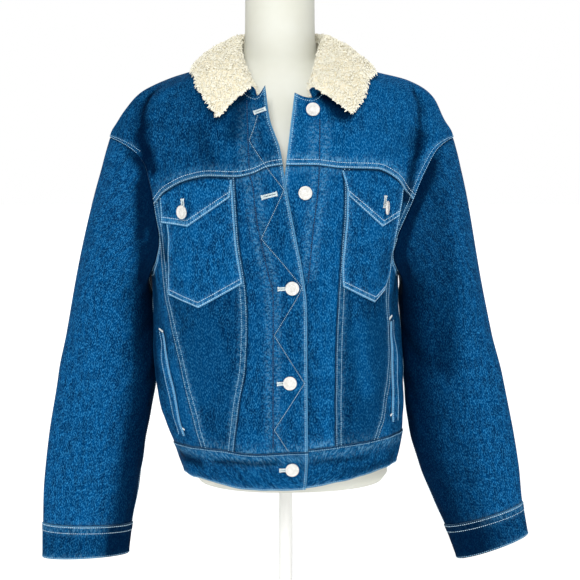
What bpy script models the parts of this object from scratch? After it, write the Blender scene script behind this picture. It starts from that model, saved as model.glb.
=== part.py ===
"""A denim jacket with a sherpa collar, worn by a limbless dress form on a short counter stand.

Metres in Blender, +Z up, the front towards -Y. Left and right are as seen from the front.

The cloth round the body is one surface. A place on it has a height and a turn, which counts quarter
turns round the body: 0 is the centre front, 1 the right side, 2 the centre back, 3 the left side and
4 the centre front again. The right front starts a little before 0 and the left front ends a little
past 4, so the left front laps over the right one. Each panel is the piece of that surface between its
seams, thickened into a wall. A sleeve fans out from its armhole into a row of oval sections.
"""

import math
from typing import NamedTuple

import bpy
import numpy as np
from mathutils import Quaternion, Vector

# ---------------------------------------------------------------- driving sizes, in millimetres
MM = 0.001
CLOTH = 1.6  # the wall of one panel
SEAM_GAP = 0.3  # between two panels
LAP = 3.6  # how far the left front stands out over the right front
LAP_TURNS = (3.60, 3.88)  # where that step starts and where it is whole
CENTRE_X = -6.0  # the middle of the body, from the middle of the stand

BAND_WALL = 2.2
BAND_PROUD = 0.8
BAND_MIDDLE = 300.0  # height at which the front edges give the band's two ends
CUFF_WALL = 2.2
CUFF_PROUD = 0.8
CUFF_SEAM = 192.0  # height of the seam between sleeve and cuff
CUFF_HEM = 144.0

POCKET_OUT = (1.1, 2.3)  # inner and outer face above the panel
FLAP_OUT = (3.2, 4.6)
WELT_OUT = (1.6, 3.0)
YOKE_CLEAR = 3.0  # from the yoke's seam down to what is sewn on under it
WELT_WIDTH = 15.0
POCKET_CORNER = 602.0  # height at which the front's outer seam meets the armhole
BACK_YOKE_HEIGHT = 664.0
BACK_SEAM_SHARES = (0.34, 0.46)  # where the back's upright seam meets the band and the yoke

BUTTON_RADIUS = 9.0
BUTTON_THICK = 2.6
BUTTON_RIM = 1.8  # from the outside to the dished face
BUTTON_DISH = 0.7
BUTTON_ROUND = 0.6
BUTTON_STANDS = 0.5  # above the cloth

LEAVE_OUT = 0.42  # how the sleeve leaves the armhole: outwards for each 1 down
LEAVE_TOP = 0.10  # less than that at the shoulder, and more under the arm
LEAVE_SIDEWAYS = 0.35
FOLD_FADE_ROWS = 3  # the sleeve's folds come in over this many rows
BODY_TURN = 190.0  # the length that one turn counts for where folds are measured on the body
SLEEVE_TURN = 350.0  # and on a sleeve

SHERPA = 7.0
SHERPA_EDGE = 4.0
COLLAR_LIFT = 1.4  # the collar's foot above the neckline
END_LIFT = 2.2  # and more at its two front ends
ROLL_HALF = 5.0  # half the width of the roll along its top
ROLL_DROP = 0.6  # and how far its shoulders lie below the top, as a share of that
ROLL_LEAST = 0.28  # the roll is no wider than this share of the stand
FALL_MIDDLE = 0.45  # where the fall bulges, as a share of it
COLLAR_RIM = (0.12, 0.04)  # the pile thins over these shares, at the edge and at both ends
EDGE_LIFT = 4.5  # the collar's outer edge above the cloth it lies on

FORM_BOTTOM = 255.0
FORM_TOP = 936.0
BASE_RADIUS = 160.0
BASE_THICK = 12.0
BASE_ROUND = 3.0
POLE_RADIUS = 11.0
TOUCH_GAP = 0.3

# How many faces each stretch is cut into
TOP_TO_YOKE = 4
YOKE_TO_POCKET = 3
POCKET_TO_ARM = 6
ARM_TO_BACK_YOKE = 5
BACK_YOKE_TO_TOP = 4
SHOULDER_ROWS = 7
SIDE_ROWS = 12
CENTRE_COLUMNS = 5
MIDDLE_COLUMNS = 6
BACK_SIDE_COLUMNS = 6
BACK_CENTRE_COLUMNS = 10
BAND_COLUMNS = 44
BAND_ROWS = 3
FAN_ROWS = 7
SLEEVE_ROWS = 9
CUFF_ROWS = 2
CUFF_COLUMNS = 24
WELT_ROWS = 8
WELT_COLUMNS = 2
COLLAR_STATIONS = 24
COLLAR_PROFILE = (3, 4, 4)  # up the stand, over the roll and down the fall
FORM_SIDES = 28
BASE_SIDES = 40
POLE_SIDES = 24
BUTTON_STEPS = 12
SEAM_SAMPLES = 80  # places that a seam is worked out at before it is divided
COLLAR_SAMPLES = 8  # and each stretch of the collar's profile
SMOOTH_UNDER = 38.0  # degrees: sharper edges than this stay crisp


class Ring(NamedTuple):
    """The body's outline at one height: where its sides are, and its depth each way."""

    height: float
    left: float
    right: float
    front: float
    back: float
    corner: float  # 2 is an ellipse, and more is squarer


class Mark(NamedTuple):
    """A place on a seam, as seen from the front."""

    x: float
    height: float


class Turn(NamedTuple):
    """A place on a seam that runs round the body."""

    turn: float
    height: float


class Share(NamedTuple):
    """A place on an armhole: the share of the quarter turn from the centre line to the side."""

    share: float
    height: float


class Swell(NamedTuple):
    """How far the collar's fall bulges at a place along it."""

    along: float
    bulge: float


class Sewn(NamedTuple):
    """A piece sewn on under the yoke's seam: corners as (x, height), from the centre outwards."""

    name: str
    side: str
    lower: tuple
    inner: tuple
    outer: tuple
    columns: tuple  # faces of each stretch of the lower edge
    rows: int
    faces: tuple  # heights of its inner and outer face above the panel


class Button(NamedTuple):
    """A button's place as seen from the front, the layer it is on, and how far it is tipped."""

    name: str
    x: float
    height: float
    centre_turn: float
    out: float
    tilt: float


class Fold(NamedTuple):
    """A soft trough (or, with a negative depth, a ridge) from one place to another."""

    from_turn: float
    from_height: float
    to_turn: float
    to_height: float
    width: float
    depth: float


class Section(NamedTuple):
    """One oval section of a sleeve; tilt raises its outer end, in degrees."""

    height: float
    x: float
    y: float
    half_width: float
    half_depth: float
    tilt: float


class Station(NamedTuple):
    """One place along the collar: its roll line, and where its outer edge lies on the body."""

    along: float
    roll_x: float
    roll_y: float
    roll_height: float
    edge_turn: float
    edge_height: float


BODY = (
    Ring(250, -134, 141, 109, 105, 2.4),
    Ring(268, -141, 148, 113, 108, 2.4),
    Ring(285, -147, 155, 116, 111, 2.5),
    Ring(300, -152, 159, 118, 112, 2.5),
    Ring(315, -157, 161, 119, 113, 2.5),
    Ring(330, -163, 162, 123, 116, 2.5),
    Ring(345, -169, 163, 125, 117, 2.5),
    Ring(360, -174, 164, 126, 118, 2.6),
    Ring(406, -180, 164, 127, 118, 2.6),
    Ring(455, -183, 161, 127, 118, 2.6),
    Ring(515, -184, 155, 127, 119, 2.6),
    Ring(560, -186, 158, 127, 120, 2.6),
    Ring(600, -194, 175, 126, 121, 2.6),
    Ring(632, -206, 193, 124, 121, 2.6),
    Ring(681, -226, 214, 119, 121, 2.5),
    Ring(712, -236, 224, 114, 119, 2.4),
    Ring(733, -239, 228, 109, 117, 2.4),
    Ring(754, -228, 217, 102, 113, 2.4),
    Ring(780, -209, 205, 93, 106, 2.3),
    Ring(794, -193, 193, 86, 100, 2.3),
    Ring(809, -160, 165, 76, 90, 2.2),
    Ring(819, -129, 124, 67, 80, 2.2),
    Ring(829, -95, 83, 58, 69, 2.1),
    Ring(838, -70, 56, 50, 60, 2.0),
    Ring(850, -60, 48, 46, 54, 2.0),
)

# Seams of the front, from the band up to the yoke or the neck
LEFT_EDGE = (Mark(30, 260), Mark(29, 420), Mark(28, 515), Mark(23, 558), Mark(15, 600), Mark(3, 662),
             Mark(-1, 685), Mark(-6, 717), Mark(-19, 757), Mark(-25, 805))
RIGHT_EDGE = (Mark(-18, 260), Mark(-20, 414), Mark(-17, 537), Mark(-8, 620), Mark(0, 692), Mark(5, 735),
              Mark(13, 805))
LEFT_SEAM_1 = (Mark(-69, 310), Mark(-60, 383), Mark(-51, 438), Mark(-49, 493), Mark(-51, 537),
               Mark(-60, 600), Mark(-66, 695))
RIGHT_SEAM_1 = (Mark(67, 310), Mark(66, 390), Mark(67, 470), Mark(69, 520), Mark(73, 585), Mark(77, 650),
                Mark(75, 705))
LEFT_SEAM_2 = (Mark(-111, 310), Mark(-127, 383), Mark(-141, 438), Mark(-151, 485), Mark(-158, 522),
               Mark(-160, 560), Mark(-156, 602))
RIGHT_SEAM_2 = (Mark(119, 310), Mark(133, 365), Mark(141, 420), Mark(142, 465), Mark(138, 505),
                Mark(140, 560), Mark(146, 602))
YOKE_SEAM = (Mark(-200, 618), Mark(-177, 642), Mark(-159, 666), Mark(-127, 683), Mark(-100, 688),
             Mark(-66, 687), Mark(-44, 690), Mark(-22, 698), Mark(4, 703), Mark(37, 704), Mark(74, 697),
             Mark(121, 693), Mark(145, 680), Mark(168, 652), Mark(190, 630))
LEFT_NECKLINE = (Mark(-26, 799), Mark(-36, 786), Mark(-48, 789), Mark(-58, 800), Mark(-65, 814),
                 Mark(-69, 827), Mark(-70, 838))
RIGHT_NECKLINE = (Mark(12, 792), Mark(25, 786), Mark(37, 785), Mark(47, 793), Mark(53, 808),
                  Mark(56, 824), Mark(56, 838))
BACK_NECKLINE = (Turn(1, 838), Turn(1.5, 831), Turn(2, 827), Turn(2.5, 831), Turn(3, 838))

# Seams that run round the body
BAND_SEAM = (Turn(-0.15, 321), Turn(0.1, 322), Turn(0.4, 328), Turn(0.7, 331), Turn(1, 327), Turn(2, 321),
             Turn(3, 312), Turn(3.3, 318), Turn(3.6, 320), Turn(3.8, 317), Turn(4.15, 321))
HEM = (Turn(-0.15, 266), Turn(0.1, 267), Turn(0.4, 277), Turn(0.75, 286), Turn(1, 283), Turn(2, 270),
       Turn(3, 267), Turn(3.25, 273), Turn(3.5, 272), Turn(3.75, 266), Turn(4.15, 267))
# Armholes, from the top of the shoulder down to the underarm
LEFT_ARMHOLE = (Share(1.0, 733), Share(0.87, 731), Share(0.75, 726), Share(0.66, 716), Share(0.60, 701),
                Share(0.585, 683), Share(0.605, 648), Share(0.65, 602), Share(0.74, 571), Share(0.87, 554),
                Share(1.0, 550))
RIGHT_ARMHOLE = (Share(1.0, 733), Share(0.86, 730), Share(0.752, 722), Share(0.695, 709), Share(0.666, 690),
                 Share(0.650, 660), Share(0.636, 630), Share(0.645, 602), Share(0.69, 580), Share(0.77, 562),
                 Share(0.88, 553), Share(1.0, 550))
BACK_ARMHOLE = (Share(1.0, 733), Share(0.88, 730), Share(0.75, 721), Share(0.67, 706), Share(0.64, 680),
                Share(0.64, 650), Share(0.67, 612), Share(0.75, 577), Share(0.88, 556), Share(1.0, 550))

BODY_FOLDS = (
    Fold(3.25, 788, 3.40, 716, 14, 7.0),
    Fold(0.78, 788, 0.60, 730, 15, 7.0),
    Fold(0.60, 730, 0.585, 668, 12, 4.0),
    Fold(3.55, 760, 3.50, 705, 20, 2.5),
    Fold(0.46, 770, 0.47, 715, 20, 2.5),
    Fold(2.60, 780, 2.62, 705, 15, 5.0),
    Fold(1.40, 780, 1.38, 705, 15, 5.0),
    Fold(0.20, 640, 0.17, 360, 12, 2.5),
    Fold(0.88, 540, 0.76, 470, 16, 4.0),
    Fold(3.14, 540, 3.26, 460, 16, 4.0),
    Fold(3.62, 470, 3.48, 350, 20, -3.0),
    Fold(0.55, 480, 0.50, 350, 22, -3.0),
    Fold(1.25, 540, 1.45, 430, 18, 4.5),
    Fold(2.75, 535, 2.55, 440, 18, 4.5),
    Fold(1.60, 400, 1.66, 335, 16, 3.0),
    Fold(2.20, 410, 2.24, 335, 16, 3.0),
    Fold(3.15, 300, 3.75, 304, 7, 2.0),
    Fold(0.25, 308, 0.85, 312, 7, 2.0),
    Fold(1.30, 302, 2.60, 299, 7, 1.6),
)

LEFT_SLEEVE = (
    Section(505, -242.0, 32, 57.5, 60, 7),
    Section(450, -246.8, 31, 63.2, 53, 5),
    Section(393, -252.2, 24, 69.3, 46, 4),
    Section(311, -266.0, 9, 68, 39, 3),
    Section(249, -273.5, -1, 67, 31, 2),
    Section(192, -279.5, -8, 63, 25, 0),
    Section(130, -284.0, -10, 60, 21, -4),
)
RIGHT_SLEEVE = (
    Section(505, 218.8, 26, 60.7, 60, 2),
    Section(450, 227.5, 27, 64.0, 54, 3),
    Section(393, 236.0, 21, 70.0, 47, 5),
    Section(330, 246.0, 10, 72, 40, 8),
    Section(260, 264.0, 0, 66, 33, 13),
    Section(205, 279.0, -8, 57, 26, 17),
    Section(146, 295.5, -10, 51.5, 21, 20),
)
RIGHT_CUFF_SEAM = 205.0
RIGHT_CUFF_HEM = 157.0

# Folds of the sleeves: turn counts round the sleeve from its outer line over the front
LEFT_SLEEVE_FOLDS = (
    Fold(0.36, 560, 0.27, 505, 12, 5.0),
    Fold(0.44, 470, 0.30, 440, 12, 4.0),
    Fold(0.46, 400, 0.33, 385, 12, 3.0),
    Fold(0.62, 500, 0.74, 455, 13, 4.5),
    Fold(0.60, 400, 0.76, 375, 13, 4.0),
    Fold(0.14, 330, 0.24, 250, 16, 2.0),
)
RIGHT_SLEEVE_FOLDS = (
    Fold(0.36, 560, 0.27, 500, 12, 5.0),
    Fold(0.45, 455, 0.30, 425, 12, 4.0),
    Fold(0.46, 390, 0.32, 360, 13, 3.5),
    Fold(0.62, 490, 0.75, 450, 13, 4.5),
    Fold(0.60, 390, 0.76, 360, 13, 4.0),
    Fold(0.22, 320, 0.30, 240, 16, 2.5),
)

COLLAR = (
    Station(0.00, -44, -101, 798, 3.764, 757),
    Station(0.09, -60, -81, 822, 3.665, 784),
    Station(0.18, -68, -45, 844, 3.490, 808),
    Station(0.28, -71, 7, 858, 3.020, 822),
    Station(0.39, -60, 56, 866, 2.480, 817),
    Station(0.50, -7, 80, 868, 2.000, 799),
    Station(0.61, 47, 56, 866, 1.520, 817),
    Station(0.72, 59, 7, 861, 0.980, 824),
    Station(0.82, 53, -45, 845, 0.430, 804),
    Station(0.91, 46, -81, 820, 0.345, 785),
    Station(1.00, 37, -100, 797, 0.272, 762),
)

DRESS_FORM = (
    Ring(FORM_BOTTOM, -122, 136, 88, 88, 2.2),
    Ring(265, -128, 143, 93, 93, 2.2),
    Ring(290, -132, 142, 96, 95, 2.3),
    Ring(340, -138, 138, 99, 97, 2.3),
    Ring(410, -129, 126, 97, 92, 2.2),
    Ring(480, -121, 115, 95, 88, 2.2),
    Ring(550, -134, 126, 106, 95, 2.2),
    Ring(610, -143, 132, 110, 100, 2.2),
    Ring(670, -150, 139, 104, 102, 2.2),
    Ring(720, -163, 152, 92, 100, 2.2),
    Ring(755, -172, 161, 79, 93, 2.1),
    Ring(776, -171, 160, 70, 86, 2.1),
    Ring(792, -156, 146, 62, 78, 2.0),
    Ring(803, -130, 119, 56, 70, 2.0),
    Ring(812, -98, 86, 51, 62, 2.0),
    Ring(822, -72, 59, 47, 55, 2.0),
    Ring(838, -59, 45, 45, 50, 2.0),
    Ring(870, -55, 40, 45, 47, 2.0),
    Ring(FORM_TOP - 6, -54, 39, 45, 46, 2.0),
    Ring(FORM_TOP, -48, 33, 39, 40, 2.0),
)

# The fall bulges most at the back of the neck
COLLAR_SWELL = (Swell(0.0, 2), Swell(0.15, 3), Swell(0.5, 5), Swell(0.85, 3), Swell(1.0, 2))

SEWN_ON = (
    Sewn("chest_pocket_left", "left", ((-55, 545), (-113, 511), (-154, 525)),
         ((-55, 545), (-63, 600), (-69, 684)), ((-154, 525), (-156, 560), (-153, 602), (-160, 655)),
         (4, 3), 9, POCKET_OUT),
    Sewn("chest_pocket_right", "right", ((75, 540), (118, 516), (131, 531)),
         ((75, 540), (77, 600), (79, 694)), ((131, 531), (141, 562), (144, 602), (152, 665)),
         (4, 2), 9, POCKET_OUT),
    Sewn("pocket_flap_left", "left", ((-71, 656), (-126, 618), (-160, 622)),
         ((-71, 656), (-68, 684)), ((-160, 622), (-162, 642), (-163, 655)),
         (4, 3), 8, FLAP_OUT),
    Sewn("pocket_flap_right", "right", ((82, 658), (125, 618), (148, 631)),
         ((82, 658), (73, 694)), ((148, 631), (151, 648), (153, 662)),
         (4, 3), 8, FLAP_OUT),
)
LEFT_WELT = ((-168, 472), (-139, 334))  # (x, height) of its upper and lower end
RIGHT_WELT = ((143, 488), (148, 350))

BUTTONS = (
    Button("front_button_1", 36, 769, 0.0, 0.0, 0),
    Button("front_button_2", 26, 662, 0.0, 0.0, 0),
    Button("front_button_3", 9, 539, 4.0, 0.0, 0),
    Button("front_button_4", 6, 414, 4.0, 0.0, 0),
    Button("front_button_5", 9, 296, 4.0, BAND_PROUD, 0),
    Button("flap_button_left", -131, 637, 4.0, FLAP_OUT[1], -24),
    Button("flap_button_right", 127, 643, 0.0, FLAP_OUT[1], 46),
)

# ---------------------------------------------------------------- colours, as linear RGB
DENIM = (0.016, 0.092, 0.250)
SHERPA_CREAM = (0.80, 0.72, 0.55)
BUTTON_IVORY = (0.86, 0.83, 0.76)
FORM_IVORY = (0.86, 0.83, 0.77)
STAND_WHITE = (0.86, 0.86, 0.85)


# ---------------------------------------------------------------- curves
def smooth(value, knots, heights):
    """A cubic through the knots whose slopes never overshoot, straight beyond both ends."""
    knots = np.asarray(knots, float)
    heights = np.asarray(heights, float)
    step = np.diff(knots)
    rise = np.diff(heights) / step
    alike = rise[:-1] * rise[1:] > 0
    total = np.where(alike, rise[:-1] + rise[1:], 1.0)
    slope = np.concatenate([rise[:1], np.where(alike, 2 * rise[:-1] * rise[1:] / total, 0.0), rise[-1:]])
    inside = np.clip(value, knots[0], knots[-1])
    place = np.clip(np.searchsorted(knots, inside, "right") - 1, 0, len(step) - 1)
    width = step[place]
    t = (inside - knots[place]) / width
    start = heights[place] * (1 + 2 * t) * (1 - t) ** 2 + slope[place] * width * t * (1 - t) ** 2
    end = heights[place + 1] * (3 - 2 * t) * t**2 - slope[place + 1] * width * (1 - t) * t**2
    beyond = np.where(value < knots[0], slope[0], slope[-1]) * (value - inside)
    return start + end + beyond


def column(table, name):
    """One named column of a table."""
    return [getattr(row, name) for row in table]


def through(points, dense=24):
    """A smooth path through the points: a Catmull-Rom curve with its ends repeated."""
    points = np.asarray(points, float)
    padded = np.concatenate([2 * points[:1] - points[1:2], points, 2 * points[-1:] - points[-2:-1]])
    t = np.linspace(0, 1, dense, endpoint=False)[:, None]
    legs = []
    for a, b, c, d in zip(padded, padded[1:], padded[2:], padded[3:]):
        legs.append(b + 0.5 * t * (c - a + t * (2 * a - 5 * b + 4 * c - d + t * (3 * b - 3 * c + d - a))))
    return np.concatenate(legs + [points[-1:]])


def unit(vectors):
    """Vectors of length 1."""
    return vectors / np.maximum(np.linalg.norm(vectors, axis=-1, keepdims=True), 1e-9)


def evenly(path, count, place):
    """Count + 1 places along a path, evenly spaced by their distance in space."""
    distance = np.concatenate([[0], np.cumsum(np.linalg.norm(np.diff(place(path), axis=0), axis=1))])
    picks = np.linspace(0, distance[-1], count + 1)
    return np.stack([np.interp(picks, distance, path[:, k]) for k in range(path.shape[1])], -1)


def joined(*legs):
    """Legs end to end, each shared point once."""
    return np.concatenate([legs[0]] + [leg[1:] for leg in legs[1:]])


# ---------------------------------------------------------------- the body's surface
def ring_points(table, turn, height):
    """Points of a body whose level rings are superellipses, at a turn and a height."""
    turn, height = np.broadcast_arrays(np.asarray(turn, float), np.asarray(height, float))
    left, right, front, back, corner = (
        smooth(height, column(table, "height"), column(table, name))
        for name in ("left", "right", "front", "back", "corner")
    )
    across = np.sin(turn * math.pi / 2)
    ahead = np.cos(turn * math.pi / 2)
    x = CENTRE_X + across * np.where(across < 0, CENTRE_X - left, right - CENTRE_X)
    deep = np.clip(1 - np.abs(across) ** corner, 0, None) ** (1 / corner)
    y = -np.sign(ahead) * np.where(ahead > 0, front, back) * deep
    return np.stack([x, y, height], -1)


def body_normals(turn, height):
    """Outward normals of the body's surface, from small steps each way."""
    step_turn, step_height = 0.004, 1.0
    along = ring_points(BODY, turn + step_turn, height) - ring_points(BODY, turn - step_turn, height)
    up = ring_points(BODY, turn, height + step_height) - ring_points(BODY, turn, height - step_height)
    return unit(np.cross(along, up))


def fold_depth(folds, turn, height, turn_length):
    """How far the folds push the cloth in: a bell curve across each fold's line."""
    total = np.zeros(np.broadcast(turn, height).shape)
    for fold in folds:
        start = np.array([fold.from_turn * turn_length, fold.from_height])
        line = np.array([fold.to_turn * turn_length, fold.to_height]) - start
        dx, dz = turn * turn_length - start[0], height - start[1]
        t = np.clip((dx * line[0] + dz * line[1]) / (line @ line), 0, 1)
        away = np.hypot(dx - t * line[0], dz - t * line[1])
        total = total + fold.depth * np.exp(-((away / fold.width) ** 2))
    return total


def cloth(turn, height, out=0.0):
    """Points of the jacket's outer surface, moved out by a distance."""
    turn, height = np.asarray(turn, float), np.asarray(height, float)
    step = np.clip((turn - LAP_TURNS[0]) / (LAP_TURNS[1] - LAP_TURNS[0]), 0, 1)
    lap = LAP * step**2 * (3 - 2 * step)
    depth = fold_depth(BODY_FOLDS, turn, height, BODY_TURN)
    return ring_points(BODY, turn, height) + body_normals(turn, height) * (out + lap - depth)[..., None]


def on_body(path):
    """The points of a path of turns and heights."""
    return ring_points(BODY, path[:, 0], path[:, 1])


def turn_at(x, height, centre_turn):
    """The turn of a place on the front that shows at x, for the front whose centre is centre_turn."""
    left = smooth(height, column(BODY, "height"), column(BODY, "left"))
    right = smooth(height, column(BODY, "height"), column(BODY, "right"))
    reach = np.where(x < CENTRE_X, CENTRE_X - left, right - CENTRE_X)
    return centre_turn + np.arcsin(np.clip((x - CENTRE_X) / reach, -1, 1)) * 2 / math.pi


def marks_path(marks, centre_turn):
    """A seam's marks as a smooth path of turns and heights."""
    path = through([(mark.x, mark.height) for mark in marks])
    return np.stack([turn_at(path[:, 0], path[:, 1], centre_turn), path[:, 1]], -1)


def upright(marks, centre_turn, low, high, count):
    """Places along an upright seam from a low height to a high one."""
    heights = np.linspace(low, high, SEAM_SAMPLES)
    x = smooth(heights, column(marks, "height"), column(marks, "x"))
    return evenly(np.stack([turn_at(x, heights, centre_turn), heights], -1), count, on_body)


def yoke_height(turn):
    """The height of the front yoke's seam at a turn."""
    height = np.full(np.shape(turn), 680.0)
    for _ in range(12):
        x = ring_points(BODY, turn, height)[..., 0]
        height = smooth(x, column(YOKE_SEAM, "x"), column(YOKE_SEAM, "height"))
    return height


def band_height(turn):
    """The height of the waistband's top seam at a turn."""
    return smooth(turn, column(BAND_SEAM, "turn"), column(BAND_SEAM, "height"))


def hem_height(turn):
    """The height of the hem at a turn."""
    return smooth(turn, column(HEM, "turn"), column(HEM, "height"))


def meeting(marks, centre_turn, height_of, start):
    """The height at which an upright seam meets a seam that runs round."""
    height = start
    for _ in range(30):
        x = smooth(np.array(height), column(marks, "height"), column(marks, "x"))
        height = 0.5 * height + 0.5 * float(height_of(turn_at(x, np.array(height), centre_turn)))
    return height


def crosswise(height_of, start, end, count):
    """Places along a seam that runs round, from one place on it to another."""
    turns = np.linspace(start[0], end[0], SEAM_SAMPLES)
    run = evenly(np.stack([turns, height_of(turns)], -1), count, on_body)
    run[0], run[-1] = start, end
    return run


def patch(low, high, first, last):
    """A grid of places between four edges: Coons' blend of the low and high edges with both sides."""
    rows, columns = len(first), len(low)
    v = np.linspace(0, 1, rows)[:, None, None]
    u = np.linspace(0, 1, columns)[None, :, None]
    ruled = (1 - v) * low[None] + v * high[None] + (1 - u) * first[:, None] + u * last[:, None]
    corners = (1 - v) * ((1 - u) * low[0] + u * low[-1]) + v * ((1 - u) * high[0] + u * high[-1])
    return ruled - corners


# ---------------------------------------------------------------- meshes
def new_object(name, vertices, faces, material):
    """A mesh object of the jacket's collection, from points in millimetres."""
    mesh = bpy.data.meshes.new(name)
    mesh.from_pydata((np.asarray(vertices) * MM).tolist(), [], faces)
    mesh.materials.append(material)
    mesh.shade_smooth()
    mesh.set_sharp_from_angle(angle=math.radians(SMOOTH_UNDER))
    piece = bpy.data.objects.new(name, mesh)
    PARTS.objects.link(piece)
    return piece


def inset(layers, gap, closed):
    """Both faces of a wall drawn in from its edges, to leave the gap at each seam."""
    for grid in layers:
        grid[0] += unit(grid[1] - grid[0]) * gap
        grid[-1] += unit(grid[-2] - grid[-1]) * gap
        if not closed:
            grid[:, 0] += unit(grid[:, 1] - grid[:, 0]) * gap
            grid[:, -1] += unit(grid[:, -2] - grid[:, -1]) * gap


def wall(name, outer, inner, material, gap=SEAM_GAP / 2, closed=False):
    """A closed wall between two grids of points, with a rim round its edges."""
    outer, inner = outer.copy(), inner.copy()
    inset((outer, inner), gap, closed)
    rows, columns = outer.shape[:2]
    index = np.arange(rows * columns).reshape(rows, columns)
    if closed:
        index = np.concatenate([index, index[:, :1]], axis=1)
    under = index + rows * columns
    a, b, c, d = (g.reshape(-1) for g in (index[:-1, :-1], index[:-1, 1:], index[1:, 1:], index[1:, :-1]))
    shift = rows * columns
    halves = np.concatenate([np.stack([a, b, c], -1), np.stack([a, c, d], -1)])
    quads = []
    low, low_in, high, high_in = index[0], under[0], index[-1], under[-1]
    quads.append(np.stack([low[:-1], low_in[:-1], low_in[1:], low[1:]], -1))
    quads.append(np.stack([high[:-1], high[1:], high_in[1:], high_in[:-1]], -1))
    if not closed:
        left, left_in, right, right_in = index[:, 0], under[:, 0], index[:, -1], under[:, -1]
        quads.append(np.stack([left[:-1], left[1:], left_in[1:], left_in[:-1]], -1))
        quads.append(np.stack([right[:-1], right_in[:-1], right_in[1:], right[1:]], -1))
    faces = halves.tolist() + (halves[:, ::-1] + shift).tolist() + np.concatenate(quads).tolist()
    points = np.concatenate([outer.reshape(-1, 3), inner.reshape(-1, 3)])
    middle = (rows // 2, columns // 2)
    along = outer[middle[0], (middle[1] + 1) % columns] - outer[middle]
    up = outer[min(middle[0] + 1, rows - 1), middle[1]] - outer[middle[0] - 1, middle[1]]
    if np.cross(along, up) @ (outer[middle] - inner[middle]) < 0:
        faces = [face[::-1] for face in faces]
    return new_object(name, points, faces, material)


def panel(name, grid, material, out=0.0, thickness=CLOTH, gap=SEAM_GAP / 2):
    """A wall of the body's cloth over a grid of turns and heights."""
    turn, height = grid[..., 0], grid[..., 1]
    outer = cloth(turn, height, out)
    inner = outer - body_normals(turn, height) * thickness
    return wall(name, outer, inner, material, gap)


def finish(name, colour, roughness):
    """A Principled material."""
    material = bpy.data.materials.new(name)
    material.use_nodes = True
    shader = material.node_tree.nodes["Principled BSDF"]
    shader.inputs["Base Color"].default_value = (*colour, 1.0)
    shader.inputs["Roughness"].default_value = roughness
    shader.inputs["Metallic"].default_value = 0.0
    material.diffuse_color = (*colour, 1.0)
    return material


# ---------------------------------------------------------------- the body's panels
class Side(NamedTuple):
    """What differs between the two sides of the jacket."""

    name: str
    out: int  # -1 points to the left, 1 to the right
    centre_turn: float
    edge: tuple
    seam_1: tuple
    seam_2: tuple
    neckline: tuple
    armhole: tuple


LEFT = Side("left", -1, 4.0, LEFT_EDGE, LEFT_SEAM_1, LEFT_SEAM_2, LEFT_NECKLINE, LEFT_ARMHOLE)
RIGHT = Side("right", 1, 0.0, RIGHT_EDGE, RIGHT_SEAM_1, RIGHT_SEAM_2, RIGHT_NECKLINE, RIGHT_ARMHOLE)


def side_turn(side):
    """The turn of a side's own seam."""
    return 1.0 if side.out > 0 else 3.0


def level(height):
    """A seam that runs round at one height."""
    return lambda turn: np.full(np.shape(turn), height)


def front_turn(side, share):
    """The turn of a share of the front quarter."""
    return side.centre_turn + side.out * share


def back_turn(side, share):
    """The turn of a share of the back quarter."""
    return 2 - side.out * share


def armhole_path(side, table, turn_of):
    """An armhole's curve from the shoulder down to the underarm."""
    path = through([(row.share, row.height) for row in table])
    return np.stack([turn_of(side, path[:, 0]), path[:, 1]], -1)


def split(path, height_of):
    """The two parts of a falling path, above and below another seam, which share the crossing."""
    over = path[:, 1] - height_of(path[:, 0])
    below = int(np.argmax(over < 0))
    share = over[below - 1] / (over[below - 1] - over[below])
    crossing = path[below - 1 : below] * (1 - share) + path[below : below + 1] * share
    return np.concatenate([path[:below], crossing]), np.concatenate([crossing, path[below:]])


def armhole_legs(side):
    """The armhole's five stretches, each evenly divided, all running down."""
    above, below = split(armhole_path(side, side.armhole, front_turn), yoke_height)
    pocket, arm = split(below, level(POCKET_CORNER))
    back_above, back_below = split(armhole_path(side, BACK_ARMHOLE, back_turn), level(BACK_YOKE_HEIGHT))
    return {
        "top": evenly(above, TOP_TO_YOKE, on_body),
        "pocket": evenly(pocket, YOKE_TO_POCKET, on_body),
        "arm": evenly(arm, POCKET_TO_ARM, on_body),
        "back_top": evenly(back_above, BACK_YOKE_TO_TOP, on_body),
        "back_arm": evenly(back_below, ARM_TO_BACK_YOKE, on_body),
    }


def oriented(side, low, high, first, last):
    """A patch whose columns run with the turn: the left side's edges are given mirrored."""
    if side.out > 0:
        return patch(low, high, first, last)
    return patch(low[::-1], high[::-1], last, first)


def straight_up(turn, low, high, count):
    """Places up the body at one turn."""
    heights = np.linspace(low, high, SEAM_SAMPLES)
    return evenly(np.stack([np.full(SEAM_SAMPLES, turn), heights], -1), count, on_body)


def side_seam(side, legs):
    """The side seam from the band up to the underarm."""
    turn = side_turn(side)
    return straight_up(turn, float(band_height(np.array(turn))), legs["arm"][-1, 1], SIDE_ROWS)


def shoulder_seam(side):
    """The shoulder seam from the armhole's top up to the neck."""
    return straight_up(side_turn(side), side.armhole[0].height, side.neckline[-1].height, SHOULDER_ROWS)


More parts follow.
